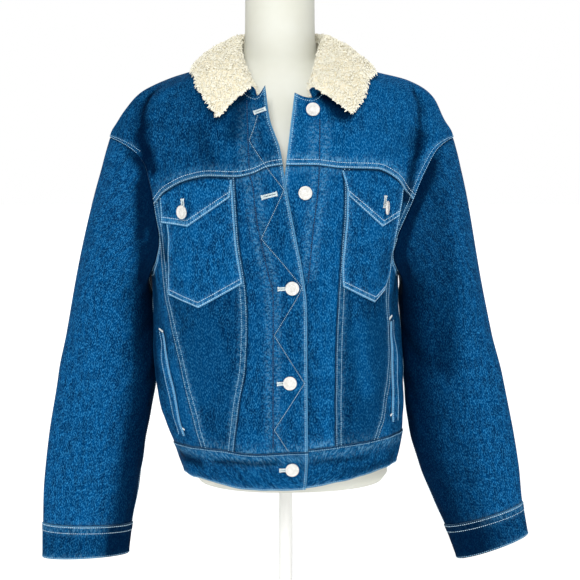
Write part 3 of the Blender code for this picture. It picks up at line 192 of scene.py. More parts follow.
LEFT_SLEEVE = table_of(Section, (505, -242, 32, 57.5, 60, 7), (450, -246.8, 31, 63.2, 53, 5),
    (393, -252.2, 24, 69.3, 46, 4), (311, -266, 9, 68, 39, 3), (249, -273.5, -1, 67, 31, 2),
    (192, -279.5, -8, 63, 25, 0), (130, -284, -10, 60, 21, -4))
RIGHT_SLEEVE = table_of(Section, (505, 218.8, 26, 60.7, 60, 2), (450, 227.5, 27, 64, 54, 3),
    (393, 236, 21, 70, 47, 5), (330, 246, 10, 72, 40, 8), (260, 264, 0, 66, 33, 13), (205, 279, -8, 57, 26, 17),
    (146, 295.5, -10, 51.5, 21, 20))
# The rows sewn down the plackets, from the top, as (x, height)
PLACKET_LEFT = ((-50, 780), (-46, 690), (-42, 672), (-35.5, 620), (-21, 553), (-16, 530), (-16, 420), (-16, 326))
PLACKET_RIGHT = ((45, 757), (44, 690), (41.4, 655), (36, 612), (30, 545))
# Turn counts round the sleeve from its outer line over the front
LEFT_SLEEVE_FOLDS = table_of(Fold, (0.38, 560, 0.31, 505, 12, 2.5), (0.44, 470, 0.32, 430, 12, 2.5),
    (0.46, 400, 0.33, 370, 12, 2), (0.62, 500, 0.74, 455, 13, 4.5), (0.6, 400, 0.76, 375, 13, 4),
    (0.14, 330, 0.24, 250, 16, 2))
RIGHT_SLEEVE_FOLDS = table_of(Fold, (0.38, 560, 0.3, 480, 12, 2.5), (0.45, 455, 0.32, 400, 12, 2.5),
    (0.46, 390, 0.32, 340, 13, 2.5), (0.62, 490, 0.75, 450, 13, 4.5), (0.6, 390, 0.76, 360, 13, 4),
    (0.22, 320, 0.3, 240, 16, 2.5))
# Painted shade round the sleeves, darker towards the body, at shares from the outer line to the inner one
SLEEVE_SHARES = (0.0, 0.3, 0.5, 0.7, 0.85, 1.0)
LEFT_SLEEVE_PAINTED_SHADE = (0.0, 0.0, 0.1, -0.2, -0.9, -1.0)
RIGHT_SLEEVE_PAINTED_SHADE = (0.05, -0.1, -0.42, -0.7, -0.95, -1.0)
# Painted shade in the hollows beside the armholes
LEFT_SLEEVE_HOLLOW_SHADE = table_of(Fold, (0.19, 670, 0.27, 600, 8, 1.2), (0.27, 600, 0.36, 545, 9, 0.9))
RIGHT_SLEEVE_HOLLOW_SHADE = table_of(Fold, (0.15, 690, 0.21, 540, 14, 0.45), (0.21, 540, 0.27, 420, 18, 0.35))
LESSER_SLEEVE_FOLDS = table_of(Fold, (0.05, 690, 0.12, 620, 12, 1.6), (0.16, 640, 0.22, 560, 11, 1.5),
    (0.28, 540, 0.2, 470, 11, 1.4), (0.4, 430, 0.2, 405, 9, 1.5), (0.12, 430, 0.2, 350, 12, 1.2),
    (0.36, 330, 0.24, 300, 10, 1.4), (0.3, 270, 0.18, 240, 10, 1.1), (0.58, 460, 0.74, 420, 10, 1.8),
    (0.62, 340, 0.76, 310, 10, 1.6), (0.9, 640, 0.84, 540, 14, 1.5))
COLLAR = table_of(Station, (0, -44, -101, 798, 3.764, 757), (0.09, -60, -81, 822, 3.665, 784),
    (0.18, -68, -45, 844, 3.49, 808), (0.28, -71, 7, 858, 3.02, 822), (0.39, -60, 56, 866, 2.48, 817),
    (0.5, -7, 80, 868, 2, 799), (0.61, 47, 56, 866, 1.52, 817), (0.72, 59, 7, 861, 0.98, 824),
    (0.82, 53, -45, 845, 0.43, 804), (0.91, 46, -81, 820, 0.345, 785), (1, 37, -100, 797, 0.272, 762))


# ---- curves
def smooth(value: Any, knots: Any, heights: Any) -> Array:
    """A cubic through the knots whose slopes never overshoot, straight beyond both ends.

    Args:
        value: where to read the curve.
        knots: rising places of the knots.
        heights: the curve's value at each knot.

    Returns:
        The curve's value, in the shape of value.
    """
    value, knots, heights = (np.asarray(each, float) for each in (value, knots, heights))
    step = np.diff(knots)
    rise = np.diff(heights) / step
    alike = rise[:-1] * rise[1:] > 0
    total = np.where(alike, rise[:-1] + rise[1:], 1.0)
    slope = np.concatenate([rise[:1], np.where(alike, 2 * rise[:-1] * rise[1:] / total, 0.0), rise[-1:]])
    inside = np.clip(value, knots[0], knots[-1])
    place = np.clip(np.searchsorted(knots, inside, "right") - 1, 0, len(step) - 1)
    width = step[place]
    t = (inside - knots[place]) / width
    start = heights[place] * (1 + 2 * t) * (1 - t) ** 2 + slope[place] * width * t * (1 - t) ** 2
    end = heights[place + 1] * (3 - 2 * t) * t**2 - slope[place + 1] * width * (1 - t) * t**2
    beyond = np.where(value < knots[0], slope[0], slope[-1]) * (value - inside)
    return start + end + beyond


def read(table: tuple, at: Any, name: str, key: str = "height") -> Array:
    """A named column of a table, read smoothly at values of its key column."""
    return smooth(at, [getattr(row, key) for row in table], [getattr(row, name) for row in table])


def through(points: Any, dense: int = 24) -> Array:
    """A smooth path through the points: a Catmull-Rom curve with its ends repeated.

    Args:
        points: the points, one to a row.
        dense: steps from one point to the next.

    Returns:
        The points of the path.
    """
    points = np.asarray(points, float)
    padded = np.concatenate([2 * points[:1] - points[1:2], points, 2 * points[-1:] - points[-2:-1]])
    t = np.linspace(0, 1, dense, endpoint=False)[:, None]
    legs = [b + 0.5 * t * (c - a + t * (2 * a - 5 * b + 4 * c - d + t * (3 * b - 3 * c + d - a))) for a, b, c,
        d in zip(padded, padded[1:], padded[2:], padded[3:])]
    return np.concatenate(legs + [points[-1:]])


def pack(*parts: Any) -> Array:
    """Arrays side by side, along a new last axis."""
    return np.stack(parts, -1)


def clamp(value: Any) -> Array:
    """Values kept between 0 and 1."""
    return np.clip(value, 0, 1)


def bell(away: Array, width: Any) -> Array:
    """A bell curve of the distance: 1 at none, and about a third at the width."""
    return np.exp(-((away / width) ** 2))


def unit(vectors: Array) -> Array:
    """Vectors of length 1."""
    return vectors / np.maximum(np.linalg.norm(vectors, axis=-1, keepdims=True), 1e-9)


def run_along(points: Array, axis: int = 0) -> Array:
    """The distance travelled along an axis of a grid of points, from 0 at its start.

    Args:
        points: a grid of points.
        axis: the axis of the grid to travel along.

    Returns:
        The distance at each place of the grid.
    """
    steps = np.linalg.norm(np.diff(points, axis=axis), axis=-1)
    start = np.zeros_like(np.take(steps, [0], axis=axis))
    return np.concatenate([start, np.cumsum(steps, axis=axis)], axis=axis)


def evenly(path: Array, count: int, place: Callable[[Array], Array]) -> Array:
    """Count + 1 places along a path, evenly spaced by their distance in space.

    Args:
        path: places along a line.
        count: the number of steps.
        place: gives the points in space of places on the path.

    Returns:
        The places, ends included.
    """
    distance = run_along(place(path))
    picks = np.linspace(0, distance[-1], count + 1)
    return np.stack([np.interp(picks, distance, path[:, k]) for k in range(path.shape[1])], -1)


def joined(*legs: Array) -> Array:
    """Legs end to end, each shared point once."""
    return np.concatenate([legs[0]] + [leg[1:] for leg in legs[1:]])


def grid_normals(points: Array, like: Array) -> Array:
    """Normals of a grid of points: the cross product of its two slopes, turned the way of like."""
    normals = unit(np.cross(np.gradient(points, axis=1), np.gradient(points, axis=0)))
    return normals * np.sign(np.sum(normals * like, axis=-1, keepdims=True))


def fold_depth(folds: tuple[Fold, ...], turn: Array, height: Array, turn_length: float,
        strongest: bool = False) -> Array:
    """How far the folds push the cloth in: a bell curve across each fold's line.

    Args:
        folds: the folds, as lines of turns and heights.
        turn: the turn of each place.
        height: the height of each place.
        turn_length: millimetres to one turn, so that distances are alike both ways.
        strongest: whether only the strongest fold counts at each place, not the sum of them all.

    Returns:
        The depth at each place.
    """
    total = np.zeros(np.broadcast(turn, height).shape)
    for fold in folds:
        start = np.array([fold.from_turn * turn_length, fold.from_height])
        line = np.array([fold.to_turn * turn_length, fold.to_height]) - start
        dx, dz = turn * turn_length - start[0], height - start[1]
        t = clamp((dx * line[0] + dz * line[1]) / (line @ line))
        away = np.hypot(dx - t * line[0], dz - t * line[1])
        depth = fold.depth * bell(away, fold.width)
        total = np.where(np.abs(depth) > np.abs(total), depth, total) if strongest else total + depth
    return total


def ripple(x: Array, z: Array) -> Array:
    """Slow uneven waves of worn cloth: a sum of sine waves of unlike lengths and directions."""
    return sum(wave.height * np.sin(2 * math.pi * (x / wave.across + z / wave.up) + wave.start) for wave in RIPPLES)


# ---- surfaces
@dataclass(frozen=True)
class Figure:
    """A body whose level rings are superellipses."""

    rings: tuple[Ring, ...]
    centre_x: float = -6.0

    def points(self, turn: Any, height: Any) -> Array:
        """Points at a turn and a height.

        On a ring, x swings with the sine of the turn and y keeps |x|^n + |y|^n = 1 in shares of the
        ring's reach and depth, where n is the ring's corner.

        Args:
            turn: the turn round the figure.
            height: the height above the floor.

        Returns:
            The points, one for each turn and height.
        """
        turn, height = np.broadcast_arrays(np.asarray(turn, float), np.asarray(height, float))
        left, right, front, back, corner = (read(self.rings, height, name) for name in ("left", "right", "front",
            "back", "corner"))
        across, ahead = np.sin(turn * math.pi / 2), np.cos(turn * math.pi / 2)
        x = self.centre_x + across * np.where(across < 0, self.centre_x - left, right - self.centre_x)
        deep = np.clip(1 - np.abs(across) ** corner, 0, None) ** (1 / corner)
        return pack(x, -np.sign(ahead) * np.where(ahead > 0, front, back) * deep, height)

    def normals(self, turn: Array, height: Array) -> Array:
        """Outward normals, from small steps each way.

        Args:
            turn: the turn round the figure.
            height: the height above the floor.

        Returns:
            The normals, each of length 1.
        """
        step_turn, step_height = 0.004, 1.0
        along = self.points(turn + step_turn, height) - self.points(turn - step_turn, height)
        up = self.points(turn, height + step_height) - self.points(turn, height - step_height)
        return unit(np.cross(along, up))

    def on(self, path: Array) -> Array:
        """The points of a path of turns and heights."""
        return self.points(path[:, 0], path[:, 1])

    def turn_at(self, x: Any, height: Any, centre_turn: float) -> Array:
        """The turn of a place on the front that shows at x, for the front whose centre is centre_turn.

        Args:
            x: the place across, as seen from the front.
            height: the height above the floor.
            centre_turn: the turn of the front's centre.

        Returns:
            The turn of each place.
        """
        x = np.asarray(x, float)
        left, right = read(self.rings, height, "left"), read(self.rings, height, "right")
        reach = np.where(x < self.centre_x, self.centre_x - left, right - self.centre_x)
        return centre_turn + np.arcsin(np.clip((x - self.centre_x) / reach, -1, 1)) * 2 / math.pi


@dataclass(frozen=True)
class BodyCloth(Figure):
    """The jacket's cloth round the body: its rings, the lap of the left front, folds and slow waves."""

    lap: float = 3.6
    lap_turns: tuple[float, float] = (3.60, 3.88)
    turn_length: float = 190.0

    def depth(self, turn: Array, height: Array) -> Array:
        """How far folds and waves push the cloth in."""
        folds = fold_depth(MAIN_FOLDS + LESSER_FOLDS, turn, height, self.turn_length)
        return folds + ripple(turn * self.turn_length, height)

    def surface(self, turn: Any, height: Any, out: float = 0.0) -> Array:
        """Points of the outer face, moved out by a distance along the body's normals.

        Args:
            turn: the turn round the body.
            height: the height above the floor.
            out: the distance moved out.

        Returns:
            The points, one for each turn and height.
        """
        turn, height = np.asarray(turn, float), np.asarray(height, float)
        step = clamp((turn - self.lap_turns[0]) / (self.lap_turns[1] - self.lap_turns[0]))
        lift = out + self.lap * step**2 * (3 - 2 * step) - self.depth(turn, height)
        return self.points(turn, height) + self.normals(turn, height) * lift[..., None]

    def spread(self, turn: Array, height: Array, middle: float, level: float = 500.0) -> Array:
        """Cloth laid flat: the arc from a middle turn at each height, and the arc up from a level at each turn.

        Args:
            turn: the turn round the body.
            height: the height above the floor.
            middle: the turn of the middle.
            level: the height that counts as 0.

        Returns:
            The flat place of each turn and height, across and up.
        """
        share = np.linspace(0, 1, 13)
        round_it = self.points(middle + (turn - middle)[..., None] * share, height[..., None])
        up_it = self.points(turn[..., None], level + (height - level)[..., None] * share)
        arcs = [np.linalg.norm(np.diff(run, axis=-2), axis=-1).sum(axis=-1) for run in (round_it, up_it)]
        return pack(arcs[0] * np.sign(turn - middle), arcs[1] * np.sign(height - level))


# ---- pieces of cloth
class Edge(Enum):
    """The four edges of a piece's grid: rows run from low to high, columns from first to last."""

    LOW = "low"
    HIGH = "high"
    FIRST = "first"
    LAST = "last"


@dataclass(frozen=True)
class Finishing:
    """How one edge is sewn: its rows of stitches, its raised strip, how worn it is and its painted seam shade."""

    rows: tuple[float, ...] = ()
    raised: float = 0.0
    strip: float = 9.0
    wear: float = 0.0
    until: float = 1.0  # the share of the edge that is sewn so, from its start
    start: float = 0.0
    folded: bool = False  # a fold rubbed pale, where a plain seam has a dark line of painted shade
    ditch_shade: float = 0.5  # how dark the painted shade in the groove of a plain seam is
    faded: bool = True  # its thread has taken on the indigo
    inner: float = 1.0  # how much of the wear lies on the strip itself, not at its inner border
    fade: float = 2.6  # how fast the wear fades beyond the strip


CLOSE_ROW = (0.68, 0.32)  # the shares of the edge and of the next row in the row added between them
SEWN_ENDS = 40  # a sewn stretch starts and ends within one part in this many of its edge
INNER_FADE = 2.0  # how fast the wear fades from a strip's border towards the edge
RUBBED = 2.2  # how far a folded edge is rubbed pale
RIM_ROUND = 0.45  # how much of its thickness a rim is rounded off by
PLAIN = Finishing(wear=0.2, strip=2.0)
# These two paint a dark line of shade along the edge: in the groove of a seam, and under the yoke that laps over it
SHADED_DITCH = Finishing(wear=0.0, strip=2.0, ditch_shade=0.7)
SHADOW_UNDER_YOKE = Finishing(wear=0.35, strip=2.0, fade=8.0, ditch_shade=0.95)
PUCKERED = Finishing(wear=0.7, strip=2.0, fade=9.0)
FELLED = Finishing((1.5, 7.6), raised=0.5, strip=9.0, wear=0.9, ditch_shade=0.4)
FRONT_EDGE = Finishing((3.4,), raised=0.4, strip=3.6, wear=0.7, folded=True)
SINGLE = Finishing((2.0,), raised=0.3, strip=6.0, wear=0.5, folded=True)
YOKE_LOW = Finishing((1.6, 7.2), raised=0.5, strip=8.5, wear=0.9, folded=True, faded=False, inner=0.35, fade=5.0)


def faced(grid: Array, edge: Edge) -> Array:
    """The grid turned so that the edge is its first column.

    Args:
        grid: a grid of places.
        edge: the edge to bring to the front.

    Returns:
        The turned grid.
    """
    if edge is Edge.FIRST:
        return grid
    if edge is Edge.LAST:
        return grid[:, ::-1]
    return grid.swapaxes(0, 1) if edge is Edge.LOW else grid[::-1].swapaxes(0, 1)


def unfaced(grid: Array, edge: Edge) -> Array:
    """The turn of faced undone.

    Args:
        grid: a grid that faced has turned.
        edge: the edge it was turned for.

    Returns:
        The grid as it was.
    """
    if edge in (Edge.FIRST, Edge.LAST):
        return faced(grid, edge)
    return grid.swapaxes(0, 1) if edge is Edge.LOW else grid.swapaxes(0, 1)[::-1]


@dataclass
class Line:
    """A path on the cloth that stitches follow."""

    points: Array
    normals: Array


@dataclass
class ClothPiece:
    """One cut piece of cloth as a thin closed shell over a grid of points."""

    name: str
    outer: Array
    normals: Array
    thickness: float = 1.6
    closed: bool = False
    gap: float = 0.15
    edges: dict[Edge, Finishing] = field(default_factory=dict)
    fold: Array | None = None
    held: str = "hung"
    rests_on: tuple[str, ...] = ("dress_form",)
    slot: str = "denim"
    spread: Array | None = None
    shade: float = 0.0  # how much this whole panel is darkened (to -1) or paled (to 1)
    shading: Array | None = None  # painted shade in hollows below 0, painted highlights above 0
    drawn_in: Array | None = None  # how rubbed it is at each place where a row of stitches draws it in

    def __post_init__(self) -> None:
        """Draws the edges in, adds a row close to each, raises the sewn strips and sets its wear and painted shade.
        """
        single = [np.zeros((*self.outer.shape[:2], 1)) if grid is None else grid[..., None]
            for grid in (self.fold, self.shading, self.drawn_in)]
        values = np.concatenate([self.outer, self.normals, *single], axis=-1)
        if self.spread is not None:
            values = np.concatenate([values, self.spread], axis=-1)
        self.cut_edges = (Edge.LOW, Edge.HIGH) if self.closed else tuple(Edge)
        for edge in self.cut_edges:
            turned = faced(values, edge)
            near = turned[:, :1] * CLOSE_ROW[0] + turned[:, 1:2] * CLOSE_ROW[1]
            drawn = turned[:, :1].copy()
            drawn[..., :3] += unit(turned[:, 1:2, :3] - drawn[..., :3]) * self.gap
            values = unfaced(np.concatenate([drawn, near, turned[:, 1:]], axis=1), edge)
        self.outer, self.normals, self.fold = values[..., :3], unit(values[..., 3:6]), values[..., 6]
        self.spread = None if self.spread is None else values[..., 9:]
        # Values for the points: wear masks, and the painted shade of the seams' grooves and of hollows
        self.wear = {name: np.zeros(self.fold.shape) for name in ("wear_x", "wear_y", "seam", "rub")}
        self.wear["wear_x"] = values[..., 8].copy()
        lift = np.zeros(self.fold.shape)
        for edge, kind in self.edges.items():
            away = self.away(edge)
            along = unfaced(np.broadcast_to(self.share(edge)[:, None], faced(away, edge).shape), edge)
            sewn = clamp((kind.until - along) * SEWN_ENDS + 0.5) * clamp((along - kind.start) * SEWN_ENDS + 0.5)
            lift = np.maximum(lift, kind.raised * sewn * clamp((kind.strip + 1.5 - away) / 3))
            beyond = away - kind.strip
            worn = bell(beyond, np.where(beyond > 0, kind.fade, INNER_FADE))
            worn = kind.wear * sewn * np.where(beyond > 0, worn, np.maximum(worn, kind.inner))
            side = "wear_x" if edge in (Edge.FIRST, Edge.LAST) else "wear_y"
            self.wear[side] = np.maximum(self.wear[side], worn)
        # A folded edge is rubbed pale; along a plain seam a dark line of painted shade stands for the shadow in its
        # groove
        for edge in self.cut_edges:
            kind = self.edges.get(edge, PLAIN)
            name, reach, most = ("rub", RUBBED, 1.0) if kind.folded else ("seam", 1.0 + kind.ditch_shade, kind.ditch_shade)
            self.wear[name] = np.maximum(self.wear[name], most * clamp(1.3 - self.away(edge) / reach))
        # The panel's tone, with the painted shade and highlights of its shading
        self.wear["shade"] = np.clip(values[..., 7] + self.shade, -1, 1)
        self.base = self.outer.copy()
        self.outer = self.outer + self.normals * lift[..., None]

    def away(self, edge: Edge) -> Array:
        """Each point's distance from an edge, along the grid."""
        return unfaced(run_along(faced(self.outer, edge), axis=1), edge)

    def share(self, edge: Edge) -> Array:
        """The share of an edge's length at each of its points."""
        run = run_along(faced(self.outer, edge)[:, 0])
        return run / run[-1]

    def line(self, edge: Edge, distance: float, start: float = 0.0, until: float = 1.0) -> Line:
        """The path that keeps a distance from an edge.

        Args:
            edge: the edge to follow.
            distance: millimetres in from it, along the grid.
            start: the share of the edge where the path starts.
            until: the share where it ends.

        Returns:
            The path, on the outer face.
        """
        points, normals = faced(self.outer, edge), faced(self.normals, edge)
        run = run_along(points, axis=1)
        rows = np.arange(len(points))
        place = np.clip((run < distance).sum(axis=1), 1, points.shape[1] - 1)
        before, after = run[rows, place - 1], run[rows, place]
        part = ((distance - before) / (after - before))[:, None]
        path = points[rows, place - 1] * (1 - part) + points[rows, place] * part
        share = self.share(edge)
        kept = (share >= start - 1e-6) & (share <= until + 1e-6)
        return Line(path[kept], unit(normals[rows, place])[kept])

    def lines(self, faded: bool) -> list[Line]:
        """The rows of stitches along its edges, in faded thread or in pale."""
        return [self.line(edge, distance, kind.start, kind.until) for edge,
            kind in self.edges.items() for distance in kind.rows if kind.faded is faded]

    def build(self, material: Material) -> None:
        """The shell: both faces, a rounded rim, its cloth map, and its wear and painted shade.

        The inner face is the outer one before its strips were raised, moved in by the thickness.
        The cloth map counts metres of cloth: across from the middle column, up from the low edge.

        Args:
            material: the finish of the cloth.
        """
        rows, columns = self.fold.shape
        rounded = self.outer.copy()
        soften = RIM_ROUND * min(self.thickness, 2.0)
        for edge in self.cut_edges:
            faced(rounded, edge)[:, 0] -= faced(self.normals, edge)[:, 0] * soften
        inner = self.base - self.normals * self.thickness
        index = np.arange(rows * columns).reshape(rows, columns)
        under = index + rows * columns
        top = pack(index[:-1, :-1], index[:-1, 1:], index[1:, 1:], index[1:, :-1]).reshape(-1, 4)
        quads = [top, top[:, ::-1] + rows * columns]
        rims = [(index[0], under[0]), (index[-1, ::-1], under[-1, ::-1])]
        if not self.closed:
            rims += [(index[::-1, 0], under[::-1, 0]), (index[:, -1], under[:, -1])]
        quads += [pack(a[:-1], b[:-1], b[1:], a[1:]) for a, b in rims]
        faces = np.concatenate(quads)
        middle = (rows // 2, columns // 2)
        turned = np.cross(self.outer[middle[0], middle[1] + 1] - self.outer[middle],
            self.outer[middle[0] + 1, middle[1]] - self.outer[middle])
        if turned @ self.normals[middle] < 0:
            faces = faces[:, ::-1]
        across, up = run_along(self.outer, axis=1), run_along(self.outer, axis=0)
        laid = self.spread
        if laid is None:
            laid = pack(across - across[:, columns // 2, None], up - up[-1:])
        merge = index.copy()
        if self.closed:
            merge[:, -1] = merge[:, 0]
        values = {name: np.tile(grid.reshape(-1), 2) for name, grid in (self.wear | {"fold": self.fold}).items()}
        piece = make_object(f"{self.name}_cloth", np.concatenate([rounded.reshape(-1, 3), inner.reshape(-1, 3)]),
            [faces], material, cloth_map=np.tile(laid.reshape(-1, 2) * MM, (2, 1)),
            values=values | {"inside": np.repeat([0.0, 1.0], rows * columns)},
            merge=np.concatenate([merge.reshape(-1), merge.reshape(-1) + rows * columns]))
        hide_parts(self.name)


# ---- meshes
def make_object(name: str, points: Array, faces: list[Array], material: Material, cloth_map: Array | None = None,
        values: dict[str, Array] | None = None, merge: Array | None = None, sharp: float = 48.0) -> Thing:
    """A mesh object from points in millimetres, which rides on the one body.

    Args:
        name: the object's name.
        points: its points.
        faces: arrays of faces, one array for each number of corners.
        material: its finish.
        cloth_map: a map coordinate for each point.
        values: named numbers for each point.
        merge: the point that stands for each point, where a tube closes on itself.
        sharp: edges that turn more than this many degrees stay crisp.

    Returns:
        The object.
    """
    corners = np.concatenate([group.reshape(-1) for group in faces])
    sides = np.concatenate([np.full(len(group), group.shape[1]) for group in faces])
    standing = np.arange(len(points)) if merge is None else merge
    used, place = np.unique(standing[corners], return_inverse=True)
    mesh = bpy.data.meshes.new(name)
    mesh.vertices.add(len(used))
    mesh.vertices.foreach_set("co", (points[used] * MM).astype(np.float32).reshape(-1))
    mesh.loops.add(len(corners))
    mesh.loops.foreach_set("vertex_index", place.reshape(-1).astype(np.int32))
    mesh.polygons.add(len(sides))
    mesh.polygons.foreach_set("loop_start", np.concatenate([[0], np.cumsum(sides)[:-1]]).astype(np.int32))
    mesh.update(calc_edges=True)
    if cloth_map is not None:
        layer = mesh.uv_layers.new(name="cloth")
        layer.uv.foreach_set("vector", cloth_map[corners].astype(np.float32).reshape(-1))
    for key, numbers in (values or {}).items():
        mesh.attributes.new(key, "FLOAT", "POINT").data.foreach_set("value", numbers[used].astype(np.float32))
    mesh.materials.append(material)
    mesh.shade_smooth()
    mesh.set_sharp_from_angle(angle=math.radians(sharp))
    piece = bpy.data.objects.new(name, mesh)
    bpy.context.scene.collection.objects.link(piece)
    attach(piece, "root")
    return piece


def lathe(profile: Array, steps: int) -> tuple[Array, list[Array]]:
    """A closed turned shape: a profile of (radius, height) from pole to pole, carried round the axis.

    Args:
        profile: its points, the first and last on the axis.
        steps: how many faces there are once round.

    Returns:
        Points about the origin, and faces.
    """
    angle = np.linspace(0, 2 * math.pi, steps, endpoint=False)
    radius, height = profile[1:-1, 0], profile[1:-1, 1]
    rings = pack(radius[:, None] * np.cos(angle), radius[:, None] * np.sin(angle),
        np.broadcast_to(height[:, None], (len(radius), steps)))
    points = np.concatenate([rings.reshape(-1, 3), [[0, 0, profile[0, 1]], [0, 0, profile[-1, 1]]]])
    return points, skin(len(radius), steps)


def skin(rings: int, steps: int) -> list[Array]:
    """Faces of rings of points that close round, with a pole at each end as the last two points.

    Args:
        rings: the number of rings.
        steps: the number of points on a ring.

    Returns:
        The faces, as rows of point numbers.
    """
    index = np.arange(rings * steps).reshape(rings, steps)
    ahead = np.roll(index, -1, axis=1)
    quads = pack(index[:-1], ahead[:-1], ahead[1:], index[1:]).reshape(-1, 4)
    low, high = np.full(steps, rings * steps), np.full(steps, rings * steps + 1)
    return [quads, np.concatenate([pack(low, ahead[0], index[0]), pack(high, index[-1], ahead[-1])])]


# ---- finishes
def linear(colour: str) -> tuple[float, float, float, float]:
    """An sRGB hex colour as linear RGBA."""
    parts = [int(colour[k : k + 2], 16) / 255 for k in (1, 3, 5)]
    return (*(part / 12.92 if part <= 0.04045 else ((part + 0.055) / 1.055) ** 2.4 for part in parts), 1.0)


def add_node(tree: bpy.types.NodeTree, kind: str, inputs: dict[int | str, Any], **settings: Any) -> bpy.types.Node:
    """Adds a node, sets it, and fills or links its sockets.

    Args:
        tree: the node tree.
        kind: the node's type.
        inputs: a value, another node or its output for each named or numbered input.
        settings: its own properties.

    Returns:
        The node.
    """
    node = tree.nodes.new(kind)
    for name, value in settings.items():
        setattr(node, name, value)
    for key, value in inputs.items():
        value = value.outputs[0] if isinstance(value, bpy.types.Node) else value
        if isinstance(value, bpy.types.NodeSocket):
            tree.links.new(value, node.inputs[key])
        else:
            node.inputs[key].default_value = value
    return node


def new_material(name: str, settings: dict[str, Any]) -> tuple[Material, bpy.types.NodeTree]:
    """A Principled material with its constant sockets set, and its tree.

    Args:
        name: the name of the material.
        settings: the values of the constant sockets.

    Returns:
        The material and its tree.
    """
    material = bpy.data.materials.new(name)
    material.use_nodes = True
    for key, value in settings.items():
        material.node_tree.nodes["Principled BSDF"].inputs[key].default_value = value
    return material, material.node_tree


def wired(material: Material, colour: bpy.types.NodeSocket, normal: bpy.types.Node) -> Material:
    """The material, once its shader takes its colour and its normal from these.

    Args:
        material: the material to finish.
        colour: the socket that gives its colour.
        normal: the node that gives its normal.

    Returns:
        The same material.
    """
    shader, links = material.node_tree.nodes["Principled BSDF"], material.node_tree.links
    links.new(colour, shader.inputs["Base Color"])
    links.new(normal.outputs[0], shader.inputs["Normal"])
    return material


class Grain(NamedTuple):
    """A cloud pattern on the cloth map: its size across and along in millimetres, turn and detail."""

    across: float
    along: float
    turned: float
    detail: float
    low: float  # the pattern's value that counts as none
    high: float  # and as full
    rough: float = 0.5  # how strong its finer detail is


